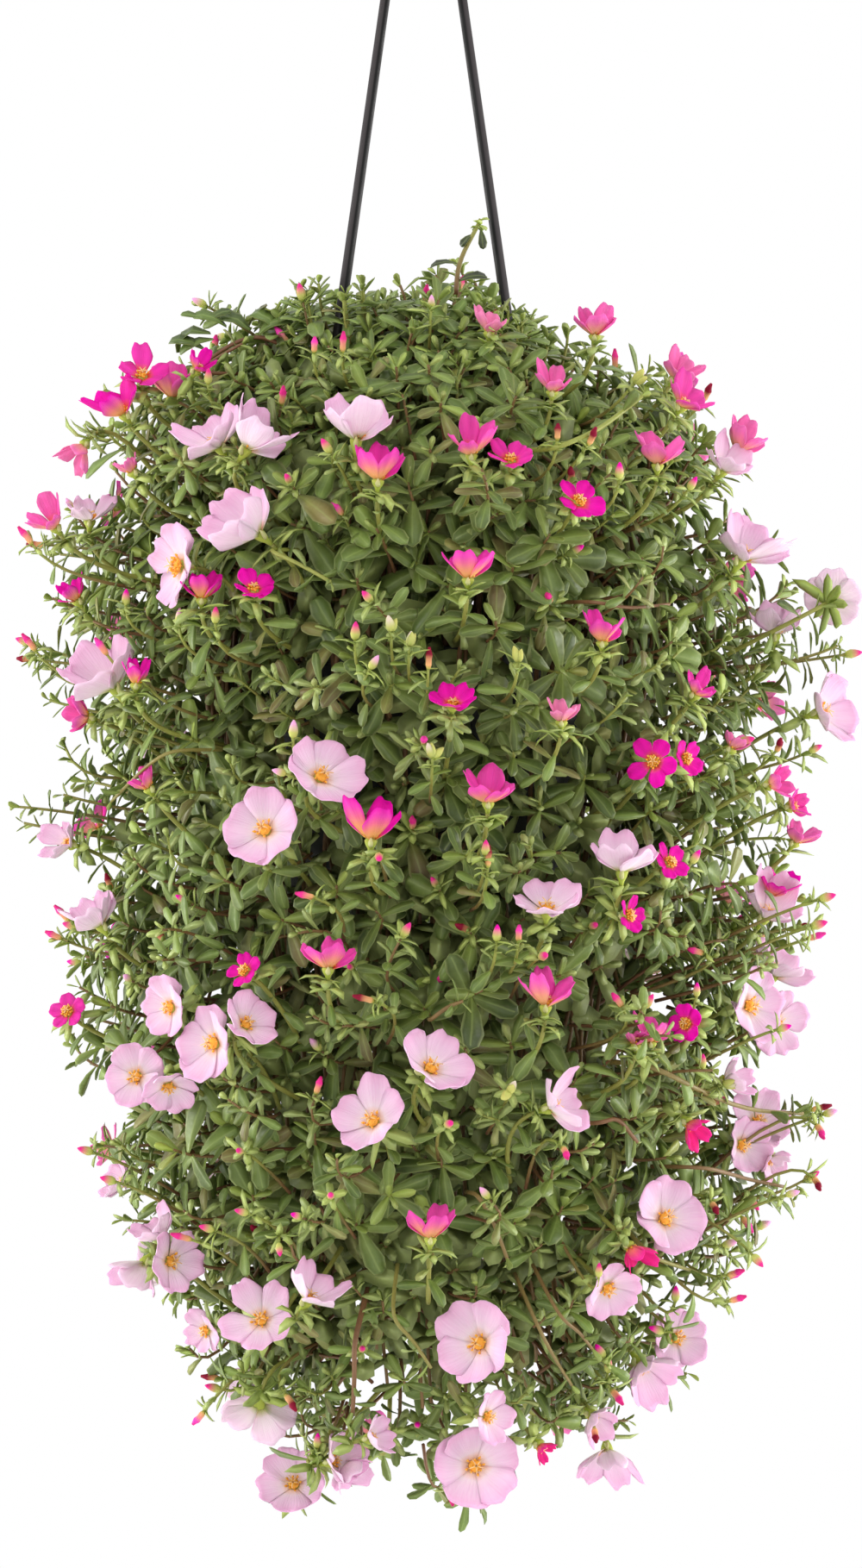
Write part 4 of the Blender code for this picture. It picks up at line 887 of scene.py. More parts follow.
def bloom_stalk(plant, zone, draw):
    """The stalk under a bloom with its whorl and the leaves below it."""
    name = clump_at(zone.base)
    end = zone.base - zone.axis * zone.radius * 0.30
    root = inner_root(zone.base, 0.70, 0.030 + draw.uniform(0, 0.015))
    path = bend(root, end - zone.axis * 0.026, end, 9)
    tint = blend(STEM_OLD, blend(STEM_YOUNG, CALYX, 0.3), 0.75)
    tubes(plant.green[name], path, np.linspace(0.0015, 0.0013, 9), 6, tint)
    spot = end - zone.axis * 0.001
    whorl(plant.narrow[name], spot, zone.axis, 8, draw.uniform(0.016, 0.023), 0.0064, 1.0, draw)
    leafy_path(plant.leaves[name], path[:8], 7, 0.021, 0.40, draw, 0.8, 0.6)


def full_bloom(into, zone, magenta, tone, draw):
    """A bloom with its petals, stamens and calyx."""
    is_open = zone.cup < 0.5
    if magenta:
        form = OPEN_MAGENTA if is_open else CUPPED_MAGENTA
    else:
        form = OPEN_PALE if is_open else CUPPED_PALE
    petals(into, zone, form, magenta, tone, draw)
    stamens(into, zone.base, zone.axis, max(zone.radius, 0.014), 20 if is_open else 9, draw)
    calyx(into, zone.base, zone.axis, max(zone.radius, 0.013), zone.cup)


def spent_bloom(into, place, axis, draw):
    """A spent bloom that has twisted shut."""
    side = across(axis)[0]
    steps = np.array((0.0, 0.0025, 0.0055, 0.0080, 0.0100, 0.0125)) * draw.uniform(0.75, 1.1)
    swing = np.array((0, 0, 0.3, 1.6, 2.8, 3.2)) * 0.001 * draw.uniform(0.3, 1.3)
    path = place + axis * steps[:, None] + side * swing[:, None]
    end = draw.choice((SPENT, BUD_PINK, MAGENTA_BACK))
    tints = (CALYX, SALMON, blend(SALMON, end, 0.35), end, end, blend(end, SPENT, 0.5))
    tubes(into, path, (0.0011, 0.0020, 0.0019, 0.0023, 0.0016, 0.0008), 6, tints, 0)


def bud(plant, name, place, axis, kind, draw):
    """A pointed bud, a bunch of fat green ones or a spent bloom, with a whorl of leaves under it."""
    into = plant.blooms[name]
    ways, pinks = [], []
    if kind == "spent":
        spent_bloom(into, place, axis, draw)
    elif kind == "fat":
        ways = [unit(axis + jitter(draw, 0.5)) for _ in range(3)]
        pinks = (BUD_GREEN, BUD_GREEN, blend(BUD_GREEN, PALE_THROAT, 0.5))
    else:
        ways = [axis]
        pinks = (draw.choice((BUD_PINK, BUD_PINK, MAGENTA_MIDDLE, PALE_EDGE)),)
    for way, pink in zip(ways, pinks):
        size = draw.uniform(0.70, 0.95)
        steps, radii = np.array(BUD_SHAPE).T * size
        tints = (CALYX, BUD_GREEN, BUD_GREEN, blend(BUD_GREEN, pink, 0.5), pink, pink)
        tubes(into, place + way * steps[:, None], radii, 7, tints, 0)
    whorl(plant.narrow[name], place, axis, 5, 0.014, 0.0044, 0.7, draw)


def back_zone(number, draw):
    """A bloom on the side away from the photo, placed by a rule."""
    z = -0.400 - 0.640 * (number + 0.5) / BACK_BLOOMS
    out = around(math.radians(100 + (number * 61.8) % 160))
    axis = unit(out + np.array((0, 0, draw.uniform(-0.1, 1.0))))
    magenta = draw.random() < 0.5
    wide = draw.uniform(0.026, 0.034) if magenta else draw.uniform(0.036, 0.044)
    cup = draw.choice((0.3, 0.4, 0.8))
    place = out * bush_radius(z) * 0.96 + np.array((0, 0, z))
    return Zone(place - axis * wide * 0.22 * cup, axis, wide / 2, cup), magenta, draw.uniform(0.0, 0.6)


def build_blooms(plant, draw):
    """All blooms. Returns the pieces of the pale ones that are nodes of their own."""
    own = []
    for number, row in enumerate(PALE_BLOOMS, start=1):
        zone = bloom_frame(Bloom(*row), False)
        piece = Gathered()
        full_bloom(piece, zone, False, 0.0, draw)
        own.append((f"bloom_pale_{number:02d}", piece))
        plant.zones.append(zone)
    shared = [(bloom_frame(Bloom(*row), False), False, 0.0) for row in SMALL_PALE_BLOOMS]
    shared += [(bloom_frame(Bloom(*row), True), True, row[4]) for row in MAGENTA_BLOOMS]
    shared += [back_zone(number, draw) for number in range(BACK_BLOOMS)]
    for zone, magenta, tone in shared:
        full_bloom(plant.blooms[clump_at(zone.base)], zone, magenta, tone, draw)
        plant.zones.append(zone)
    for zone in plant.zones:
        bloom_stalk(plant, zone, draw)
    return own


def build_marks(plant, draw):
    """The buds and spent blooms of the front, each on its own leafy shoot."""
    for column, row, facing, kind in MARKS:
        place = picture_place(column, row, least=front_depth(row))
        axis = unit(np.array(FACINGS[facing]))
        name = clump_at(place)
        root = inner_root(place, 0.74, 0.025)
        path = bend(root, place - axis * 0.022, place, 7)
        plant.stem(name, path, 0.0011, 0.0009, 1.0)
        leafy_path(plant.leaves[name], path[:6], 5, 0.018, 0.4, draw, 0.8)
        bud(plant, name, place, axis, kind, draw)


def in_gap(place):
    """True where the front view shows an open place at the outline."""
    column = place[0] / METRES_PER_PIXEL + PICTURE_MIDDLE_COLUMN
    row = PICTURE_HOOK_ROW - place[2] / METRES_PER_PIXEL
    return any(math.hypot(column - x, row - y) < radius for x, y, radius in GAPS)


def relief(turn, z):
    """Tufts and hollows of the bush, as a share of its radius."""
    waves = 0.045 * math.sin(3 * turn + 9 * z) + 0.035 * math.sin(5 * turn - 21 * z + 1)
    waves += 0.030 * math.sin(2 * turn + 40 * z)
    hollow = mound(math.remainder(turn, math.tau), 0.0, 0.5) * mound(z, -0.68, 0.13)
    step = (PICTURE_HOOK_ROW - z / METRES_PER_PIXEL - TUFT_FIRST_ROW) / TUFT_ROW_STEP
    right, left = (np.interp(step, range(len(tufts)), tufts) for tufts in (RIGHT_TUFTS, LEFT_TUFTS))
    side = max(math.sin(turn), 0.0) ** 3 * right + max(-math.sin(turn), 0.0) ** 3 * left
    return waves - 0.13 * hollow + side


def surface_points(count):
    """Evenly spread places on the bush's outline: radius, height, slope and turn round the axis."""
    grid = np.arange(400)
    heights, radii = np.array(BUSH_OUTLINE).T
    fine = np.linspace(0, len(radii) - 1, len(grid))
    z = np.interp(fine, np.arange(len(radii)), heights)
    r = np.interp(fine, np.arange(len(radii)), radii)
    step = np.hypot(np.diff(r), np.diff(z)) * (r[1:] + r[:-1])
    area = np.concatenate(((0.0,), np.cumsum(step)))
    at = np.interp((np.arange(count) + 0.5) / count * area[-1], area, grid)
    lean = np.arctan2(np.gradient(r), -np.gradient(z))
    r, z, lean = (np.interp(at, grid, values) for values in (r, z, lean))
    return r, z, lean, np.arange(count) * GOLDEN_TURN


def shrunk(point, share):
    """A point drawn in towards the core of the bush."""
    core = np.array((0.0, 0.0, min(max(point[2], -0.93), -0.50)))
    return core + (point - core) * share


def outer_places():
    """Radius, height, slope and turn of the outer shoots: all over the bush, and again on its dome."""
    places = list(zip(*surface_points(OUTER_SHOOTS)))
    heights, radii = np.array(BUSH_OUTLINE[:DOME_RINGS]).T
    for i in range(DOME_SHOOTS):
        r = DOME_RADIUS * math.sqrt((i + 0.5) / DOME_SHOOTS)
        z = float(np.interp(r, radii, heights))
        places.append((r, z, math.radians(90 - 350 * r), i * GOLDEN_TURN + 0.5))
    return places


def outer_tip(r, z, turn, top, far, draw):
    """Where an outer shoot ends: in the bush's dense body, or far out of it."""
    rise = relief(turn, z)
    share = draw.uniform(0.90, 1.04) + rise * 0.4 if far else draw.uniform(0.73, 0.88) + rise
    if top:
        share = draw.uniform(0.95, 1.02) if far else draw.uniform(0.83, 0.94)
    tip = shrunk(around(turn, r, z), share) + jitter(draw, 0.008)
    if top:
        tip[2] += np.interp(tip[0], *np.array(DOME_LIFT).T)
    return tip


def outer_shoots(plant):
    """Leafy shoots all over the bush: most end in its dense body, some stand far out of it."""
    zones = Zones(plant.zones)
    for number, (r, z, lean, turn) in enumerate(outer_places()):
        draw = random.Random(number)
        top = z > DOME_LOWEST_Z
        low = z < LOW_Z
        if low and draw.random() < 0.32:
            continue
        far = draw.random() < (0.08 if top else 0.30)
        tip = outer_tip(r, z, turn, top, far, draw)
        if in_gap(tip) or not zones.clear(tip[None], 0.05)[0]:
            continue
        upward = max(math.sin(lean), 0.0) + (0.1 if top else 0.6)
        heading = unit(around(turn, math.cos(lean), upward) + jitter(draw, 0.75))
        long = draw.uniform(0.056, 0.076) if far else draw.uniform(0.032, 0.046)
        away = around(turn, math.cos(lean), math.sin(lean) * 0.9)
        root = tip - away * long - np.array((0, 0, draw.uniform(0.0, 0.4) * long)) + jitter(draw, 0.010)
        path = bend(root, tip - heading * long * 0.45, tip, 7)
        name = clump_at(tip)
        plant.stem(name, path, 0.0011, 0.0008, 0.15 if round(1000 * r) % 5 < 4 else 0.9, 4)
        slim = far or low
        size = draw.uniform(0.017, 0.022) if slim else draw.uniform(0.022, 0.032)
        style = draw.uniform(0.40, 1.0) if slim else draw.uniform(0.0, 0.6)
        if top and not far:
            size *= 0.84
        # Far, low and top shoots get lighter leaves: partly the younger colour of their tips, partly painted
        # light where the edges and top of the bush catch more light
        tone = draw.uniform(0.92, 1.22) if slim or top else draw.uniform(0.50, 1.05)
        # Painted light: leaves at the bush's left and right flanks are lighter
        tone += 0.20 * smooth(0.10, 0.18, abs(tip[0]))
        # Painted shade: leaves in the hollow at the front middle are darker
        tone *= 1 - 0.62 * mound(math.remainder(turn, math.tau), 0.0, 0.85) * mound(z, -0.64, 0.22)
        count = draw.choice((13, 14, 15)) if far else draw.choice((9, 10, 11))
        leafy_path(plant.leaves[name], path, count, size, 0.30 if far else 0.42, draw, tone, style)
        chance = draw.random()
        if chance < 0.09:
            bud(plant, name, tip + heading * 0.001, heading, "bud" if chance < 0.05 else "spent", draw)


def inner_spots(draw):
    """Tips and turns of the inner shoots: under the outline, in the core, round the pot, behind gaps."""
    spots = []
    for r, z, _, turn in zip(*surface_points(INNER_SHOOTS)):
        turn += 1.0
        if z > -1.0:
            share = draw.uniform(0.62, 0.74) + relief(turn, z) * 0.8
            spots.append((shrunk(around(turn, r, z), share), turn))
    for i in range(CORE_SHOOTS):
        r = 0.12 * math.sqrt((i + 0.5) / CORE_SHOOTS)
        z = draw.uniform(-0.53, -0.42) if i % 3 == 0 else draw.uniform(-0.97, -0.74)
        spots.append((around(i * GOLDEN_TURN, r, z), i * GOLDEN_TURN))
    for i in range(POT_SHOOTS):
        r = draw.uniform(0.130, 0.142)
        z = blend(-0.48, -0.74, (i + 0.5) / POT_SHOOTS)
        spots.append((around(i * GOLDEN_TURN, r, z), i * GOLDEN_TURN))
    for column, row, radius in GAPS:
        x, _, z = picture_place(column, row)
        if abs(x) > 0.15 and radius > 30:
            for y in (-0.022, 0.022):
                spots.append((np.array((math.copysign(0.133, x), y, z)), math.copysign(math.pi / 2, x)))
    return spots


def inner_shoots(plant, draw):
    """Larger leaves that close the bush inside its outer shoots, painted darker as shade."""
    for number, (tip, turn) in enumerate(inner_spots(draw)):
        if in_gap(tip) or (abs(tip[0]) > 0.134 and number % 3 == 0):
            continue
        own = random.Random(2000 + number)
        heading = unit(around(turn) + jitter(own, 0.6) + np.array((0, 0, 0.15)))
        path = bend(tip - heading * 0.030, tip - heading * 0.012, tip, 4)
        name = clump_at(tip)
        plant.stem(name, path, 0.0012, 0.0010, 0.2, 4)
        # Painted shade: the inner leaves take low tones, towards LEAF_DARK, to stand in for the shade deep
        # in the bush
        tone = own.uniform(0.0, 0.35)
        leafy_path(plant.inner[name], path, 8, own.uniform(0.027, 0.036), 0.2, own, tone, 0.0)


def hanging_stems(plant, draw):
    """The trailing stems themselves, from the soil over the rim and down each spray."""
    for i in range(SPRAYS):
        for strand in range(STEMS_PER_SPRAY):
            turn = math.tau * (i + 0.5 + (strand - 1.5) * 0.20 + draw.uniform(-0.05, 0.05)) / SPRAYS
            end = draw.uniform(-1.015, -0.94) if strand % 2 else draw.uniform(-0.97, -0.80)
            stops = [stop for stop in STEM_RUN if stop[1] > end + 0.03] + [(bush_radius(end) * 0.62, end)]
            rough = []
            for n, (r, z) in enumerate(stops):
                loose = n > 3
                sway = draw.uniform(-0.16, 0.16) if loose else (strand - 1.5) * 0.01
                reach = r + (draw.uniform(-0.014, 0.014) if loose else 0.0)
                rough.append(around(turn + sway, reach, z))
            plant.stem(f"spray_{i + 1:02d}", smoothed(np.array(rough), 30), 0.0020, 0.0010, 0.15)
    for side, name in enumerate(CROWNS):
        for strand in range(STEMS_PER_CROWN):
            turn = math.tau * (side + (strand - 2) * 0.17) / 4
            r = 0.045 + 0.004 * (strand % 2)
            top = draw.uniform(-0.42, -0.39)
            lean = draw.uniform(0.3, 1.6)
            rough = [
                around(turn, r * (1 + (lean - 1) * share), blend(SOIL_Z - 0.018, top, share))
                for share in (0.0, 0.3, 0.65, 1.0)
            ]
            plant.stem(name, smoothed(np.array(rough), 12), 0.0022, 0.0012, 0.4)


def lone_tips(plant, draw):
    """Leafy tips that stand out of the bush on their own."""
    for column, row, depth in LONE_TIPS:
        place = picture_place(column, row, depth)
        out = unit(np.array((place[0], place[1], 0.0)))
        heading = unit(out + np.array((0, 0, draw.uniform(-0.1, 0.6))))
        root = inner_root(place, 0.66, 0.012)
        path = bend(root, place - heading * 0.035, place, 9)
        name = clump_at(place)
        plant.stem(name, path, 0.0012, 0.0008, 0.6)
        leafy_path(plant.leaves[name], path, 13, draw.choice((0.018, 0.023)), 0.30, draw, 0.8, 0.6)
        if draw.random() < 0.5:
            bud(plant, name, place, heading, draw.choice(("bud", "spent")), draw)


def runners(plant, draw):
    """Long stretches of stem on the front, bare but for a few leaves."""
    for stops, out, radius, young in RUNNERS:
        path = np.array([picture_place(column, row) for column, row in stops])
        path[:, :2] *= out
        inner = inner_root(path[0], 0.8, 0.0)
        path = smoothed(np.concatenate((inner[None], path)), 16)
        name = clump_at(path[8])
        tints = blend(STEM_OLD, STEM_YOUNG, young)
        tubes(plant.green[name], path, np.linspace(radius, radius * 0.75, 16), 6, tints)
        leafy_path(plant.leaves[name], path[10:], 5, 0.017, 0.3, draw, 0.9, 0.5)


def leaf_across(place, lean, long, wide, curl, tint):
    """A leaf that leaves its base to the left or right and curls down."""
    along = unit(np.array(lean))
    up = np.array((0.0, -0.66, 0.75))
    up = unit(up - along * float(along @ up))
    return Leaf(place, along, up, long, wide, curl, tint, blend(tint, LEAF_LIGHT, 0.4))


def strand_tufts(plant, draw):
    """Upright shoots round each strand, where it comes out of the bush."""
    for degrees in STRAND_AZIMUTHS:
        for i in range(TUFTS_PER_STRAND):
            turn = math.radians(degrees) + draw.uniform(-0.34, 0.34)
            r = draw.uniform(0.070, 0.098)
            tip = around(turn, r, -0.350 - (r - 0.070) * 0.55)
            tip[2] += draw.uniform(-0.007, 0.003) - (0.014 if tip[0] > 0 else 0.001)
            root = tip * np.array((0.8, 0.8, 1.0)) - np.array((0, 0, 0.045))
            path = bend(root, tip - np.array((0, 0, 0.018)), tip, 7)
            name = clump_at(tip)
            plant.stem(name, path, 0.0011, 0.0008, 0.9, 4)
            leafy_path(plant.leaves[name], path, 10, draw.uniform(0.017, 0.024), 0.35, draw, 0.9, 0.3)


def curled_sprig(plant, draw):
    """The one sprig that stands up beside the right strand."""
    path = smoothed(np.array([picture_place(*stop, SPRIG_DEPTH) for stop in SPRIG]), 14)
    name = CROWNS[0]
    plant.stem(name, path, 0.0016, 0.0012, 0.75)
    for column, row, *shape in SPRIG_LEAVES:
        base = picture_place(column, row, SPRIG_DEPTH)
        plant.leaves[name].append(leaf_across(base, *shape, SPRIG_LEAF))
    whorl(plant.narrow[name], path[-1], np.array((0.1, 0.0, 1.0)), 6, 0.010, 0.0052, 1.2, draw)


def dome_left(plant, draw):
    """The reddish twig and the broad leaves that arch over the left of the dome."""
    path = smoothed(np.array([picture_place(*stop, DOME_TWIG_DEPTH) for stop in DOME_TWIG]), 16)
    name = clump_at(path[8])
    plant.stem(name, path, 0.0015, 0.0010, 0.0)
    for column, row, *shape in DOME_LEAVES:
        base = picture_place(column, row, DOME_LEAF_DEPTH)
        tint = blend(LEAF_DARK, LEAF_MATURE, draw.uniform(0.3, 0.9))
        plant.leaves[name].append(leaf_across(base, *shape, tint))


class Look:
    """A new node material, with short ways to add nodes to it."""

    def __init__(self, name):
        self.made = bpy.data.materials.new(name)
        self.made.use_nodes = True
        self.tree = self.made.node_tree
        self.shader = self.tree.nodes["Principled BSDF"]

    def node(self, kind, values, **settings):
        """A node whose inputs, by name or number, are linked to sockets or set to values."""
        node = self.tree.nodes.new("ShaderNode" + kind)
        for name, setting in settings.items():
            setattr(node, name, setting)
        for name, value in values.items():
            self.put(node.inputs[name], value)
        return node

    def put(self, socket, value):
        if isinstance(value, bpy.types.NodeSocket):
            self.tree.links.new(value, socket)
        elif socket.type == "RGBA":
            socket.default_value = (*value, 1.0)
        else:
            socket.default_value = value

    def tint(self):
        return self.node("Attribute", {}, attribute_name="tint").outputs["Color"]

    def mark(self):
        return self.node("Attribute", {}, attribute_name="mark").outputs["Vector"]

    def noise(self, scale, detail, vector=None):
        if vector is None:
            vector = self.node("TexCoord", {}).outputs["Object"]
        return self.node("TexNoise", {"Scale": scale, "Detail": detail, "Vector": vector}).outputs["Fac"]

    def ramp(self, value, low, high):
        """A share that rises from 0 to 1 as a value goes from low to high."""
        return self.node("MapRange", {"Value": value, "From Min": low, "From Max": high}).outputs["Result"]

    def over(self, below, colour, mask, strength=1.0, how="MULTIPLY"):
        """A colour laid over another one as far as a mask and a strength say."""
        share = self.node("Math", {0: mask, 1: strength}, operation="MULTIPLY").outputs[0]
        layers = {0: share, 6: below, 7: colour}
        return self.node("Mix", layers, data_type="RGBA", blend_type=how).outputs[2]

    def finish(self, colour, rough, height, strength, distance, **more):
        """The shader's colour, roughness and bump, and further numbers on its own sockets.

        The roughness is one number, or a noise with the least and the most that it gives.
        """
        if isinstance(rough, tuple):
            noise, least, most = rough
            values = {"Value": noise, "From Min": 0.3, "From Max": 0.7, "To Min": least, "To Max": most}
            rough = self.node("MapRange", values).outputs["Result"]
        bump = self.node("Bump", {"Strength": strength, "Distance": distance, "Height": height})
        self.put(self.shader.inputs["Base Color"], colour)
        self.put(self.shader.inputs["Roughness"], rough)
        self.put(self.shader.inputs["Normal"], bump.outputs["Normal"])
        for name, value in more.items():
            self.shader.inputs[name.replace("_", " ")].default_value = value
        return self.made


def leaf_material():
    """Fleshy olive leaves with a pale rim, a pale midrib and fine mottling."""
    look = Look("leaf")
    parts = look.node("SeparateXYZ", {0: look.mark()}).outputs
    rim = look.ramp(parts["Y"], 0.74, 0.96)
    rib = look.node("Math", {0: look.ramp(parts["Y"], 0.16, 0.02), 1: parts["Z"]}, operation="MULTIPLY")
    mottle = look.noise(420.0, 3.0)
    colour = look.over(look.tint(), (0.62, 0.64, 0.46), mottle, 0.5)
    colour = look.over(colour, (0.58, 0.64, 0.44), look.noise(60.0, 2.0), 0.35)
    colour = look.over(colour, screen(186, 198, 124), rim, 0.42, "MIX")
    colour = look.over(colour, screen(164, 182, 106), rib.outputs[0], 0.26, "MIX")
    return look.finish(colour, (mottle, 0.34, 0.56), mottle, 0.35, 0.0004, Specular_IOR_Level=0.46)


def stem_material():
    """Stems from yellow green at their tips to reddish brown, with fine blotches."""
    look = Look("stem")
    grain = look.noise(380.0, 3.0)
    colour = look.over(look.tint(), (0.55, 0.50, 0.42), grain, 0.6)
    colour = look.over(colour, (0.75, 0.52, 0.45), look.noise(90.0, 2.0), 0.5)
    return look.finish(colour, (grain, 0.42, 0.62), grain, 0.4, 0.0004)


def petal_material():
    """Thin satin petals with fine veins that run from foot to edge."""
    look = Look("petal")
    stretch = look.node("VectorMath", {0: look.mark(), 1: (1.2, 9.0, 1.0)}, operation="MULTIPLY")
    veins = look.noise(1.6, 4.0, stretch.outputs["Vector"])
    colour = look.over(look.tint(), (0.91, 0.68, 0.86), look.ramp(veins, 0.40, 0.66), 0.26)
    colour = look.over(colour, (0.97, 0.80, 0.95), look.noise(110.0, 2.0), 0.25)
    thin = {"Subsurface_Weight": 0.35, "Subsurface_Radius": (1.0, 0.7, 0.9), "Subsurface_Scale": 0.004}
    return look.finish(colour, (veins, 0.50, 0.68), veins, 0.5, 0.0008, Specular_IOR_Level=0.12, **thin)


def plastic_material(name, colour, low, high, scale):
    """Moulded plastic with a fine grain and a little dust."""
    look = Look(name)
    grain = look.noise(scale, 4.0)
    tone = look.over(colour, colour * 1.9 + 0.004, look.noise(35.0, 3.0), 0.5, "MIX")
    tone = look.over(tone, (0.6, 0.6, 0.6), grain, 0.5)
    return look.finish(tone, (grain, low, high), grain, 0.25, 0.0003)


def strand_material():
    """Black plastic, finely speckled, with a paler band along the middle and darker sides: a painted
    highlight and painted shade of the rounded strand.
    """
    look = Look("strand")
    parts = look.node("SeparateXYZ", {0: look.mark()}).outputs
    speckle = look.noise(2600.0, 2.0)
    wear = look.noise(45.0, 3.0)
    # Painted highlight: paler along the middle of each broad face, with painted shade dark towards the edges
    tone = look.over(screen(5, 5, 6), screen(62, 56, 58), look.ramp(parts["Y"], 0.84, 0.56), 0.75, "MIX")
    tone = look.over(tone, (0.35, 0.35, 0.35), speckle, 0.7)
    tone = look.over(tone, (1.5, 1.5, 1.5), wear, 0.3)
    return look.finish(tone, (wear, 0.40, 0.62), speckle, 0.35, 0.0002, Specular_IOR_Level=0.25)


def soil_material():
    """Dark crumbs and clods."""
    look = Look("soil_crumbs")
    grain = look.noise(700.0, 5.0)
    tone = look.over(look.tint(), (1.7, 1.5, 1.35), look.ramp(look.noise(120.0, 4.0), 0.35, 0.65))
    tone = look.over(tone, (0.45, 0.42, 0.40), look.ramp(grain, 0.40, 0.62))
    return look.finish(tone, 0.95, grain, 0.8, 0.0012)


def floor_material():
    look = Look("floor")
    look.put(look.shader.inputs["Base Color"], look.tint())
    look.put(look.shader.inputs["Roughness"], 0.8)
    return look.made


def declare(piece, slot, *nodes):
    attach(piece, "root")
    if nodes:
        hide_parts(*nodes)


def build_plant():
    """All leaves, stems and blooms, gathered clump by clump."""
    draw = random.Random(7)
    plant = Plant()
    own = build_blooms(plant, draw)
    build_marks(plant, draw)
    outer_shoots(plant)
    inner_shoots(plant, draw)
    for build in (hanging_stems, lone_tips, runners, strand_tufts, curled_sprig, dome_left):
        build(plant, draw)
    zones = Zones(plant.zones)
    green = (leaf_material(), stem_material())
    petal = petal_material()
    for name, into in plant.green.items():
        kept = zones.keep(plant.leaves[name])
        blades(into, [one for one in kept if one.width >= SLIM_WIDTH], FULL_STEPS, FULL_SECTION)
        blades(into, [one for one in kept if one.width < SLIM_WIDTH], FULL_STEPS, NARROW_SECTION)
        blades(into, zones.keep(plant.inner[name]), PLAIN_STEPS, NARROW_SECTION)
        blades(into, zones.keep(plant.narrow[name]), NARROW_STEPS, NARROW_SECTION)
        declare(into.make(f"{name}_leaves", green), "leaf_green", name)
        if plant.blooms[name].total:
            declare(plant.blooms[name].make(f"{name}_blooms", (petal,)), "pale_petal", name)
    for name, piece in own:
        declare(piece.make(f"{name}_petals", (petal,)), "pale_petal", name)


def turned(profile, sides, tint, into=None, centre=(0.0, 0.0)):
    """A body turned round an upright axis from a closed profile that starts and ends on the axis."""
    into = into or Gathered()
    rings = [around(i * math.tau / sides, r, z) for r, z in profile[1:-1] for i in range(sides)]
    ends = [(0, 0, profile[0][1]), (0, 0, profile[-1][1])]
    points = np.array(rings + ends)[None] + np.array((*centre, 0.0))
    into.add(points, closed_rings(len(profile) - 2, sides, True), tint, NO_MARK)
    return into


def cut(piece, cutters):
    """Cuts holes with a list of objects, which are then removed."""
    for tool in cutters:
        step = piece.modifiers.new("hole", "BOOLEAN")
        step.operation = "DIFFERENCE"
        step.solver = "EXACT"
        step.object = tool
    graph = bpy.context.evaluated_depsgraph_get()
    result = bpy.data.meshes.new_from_object(piece.evaluated_get(graph))
    piece.modifiers.clear()
    piece.data = result
    for tool in cutters:
        bpy.data.objects.remove(tool, do_unlink=True)


def rod(start, end, radius):
    """A round cutter between two points."""
    into = Gathered()
    tubes(into, np.linspace(start, end, 3), radius, 24, NO_MARK, 0)
    return into.make("cutter", ())


def flat_edges(piece, degrees):
    """Smooth faces with sharp edges where they meet at more than an angle."""
    piece.data.shade_smooth()
    piece.data.set_sharp_from_angle(angle=math.radians(degrees))


def build_strands(material):
    """Four flat-sided plastic strands, each with a button under the pot's flange."""
    top_z = HUB_TOP_Z - HUB_HEIGHT + SOCKET_DEPTH - GAP
    button_z = RIM_Z - FLANGE_THICKNESS - GAP
    wide_z = top_z - SOCKET_DEPTH - 0.016
    levels = [(top_z, 0.80), (top_z - SOCKET_DEPTH - 0.004, 0.80), (wide_z, 1.0)]
    for i in range(STRAND_STEPS):
        levels.append((blend(wide_z, button_z + 0.016, (i + 1) / STRAND_STEPS), 1.0))
    levels += [(button_z + 0.006, 0.95), (button_z, 0.92)]
    corners = np.arange(STRAND_SIDES) * math.tau / STRAND_SIDES
    flat_x, flat_y = (np.sign(wave) * np.abs(wave) ** 0.75 for wave in (np.cos(corners), np.sin(corners)))
    low = button_z - BUTTON_HEIGHT
    edge = BUTTON_RADIUS - 0.0006
    profile = [
        (0.0, low), (edge, low), (BUTTON_RADIUS, low + 0.0006), (BUTTON_RADIUS, button_z - 0.0006),
        (edge, button_z), (0.0, button_z),
    ]
    for number, degrees in enumerate(STRAND_AZIMUTHS, start=1):
        turn = math.radians(degrees)
        out = around(turn)
        side = np.array((math.cos(turn), math.sin(turn), 0))
        ring = (flat_x * STRAND_WIDTH)[:, None] * side + (flat_y * STRAND_THICKNESS)[:, None] * out
        rings = [strand_point(degrees, z) + 0.5 * scale * ring for z, scale in levels]
        ends = [strand_point(degrees, levels[end][0])[None] for end in (0, -1)]
        points = np.concatenate(rings + ends)[None]
        marks = np.zeros(points.shape)
        # The mark's second value, 0 at the middle of each broad face and 1 at its edges, places the strand's
        # painted highlight
        marks[0, :-2, 1] = np.tile(np.abs(flat_x), len(levels))
        into = Gathered()
        into.add(points, closed_rings(len(levels), STRAND_SIDES, True), BLACK_PLASTIC, marks)
        turned(profile, 24, BLACK_PLASTIC, into, strand_point(degrees, button_z)[:2])
        declare(into.make(f"strand_{number}_fine", (material,)), "strand_plastic", f"strand_{number}")


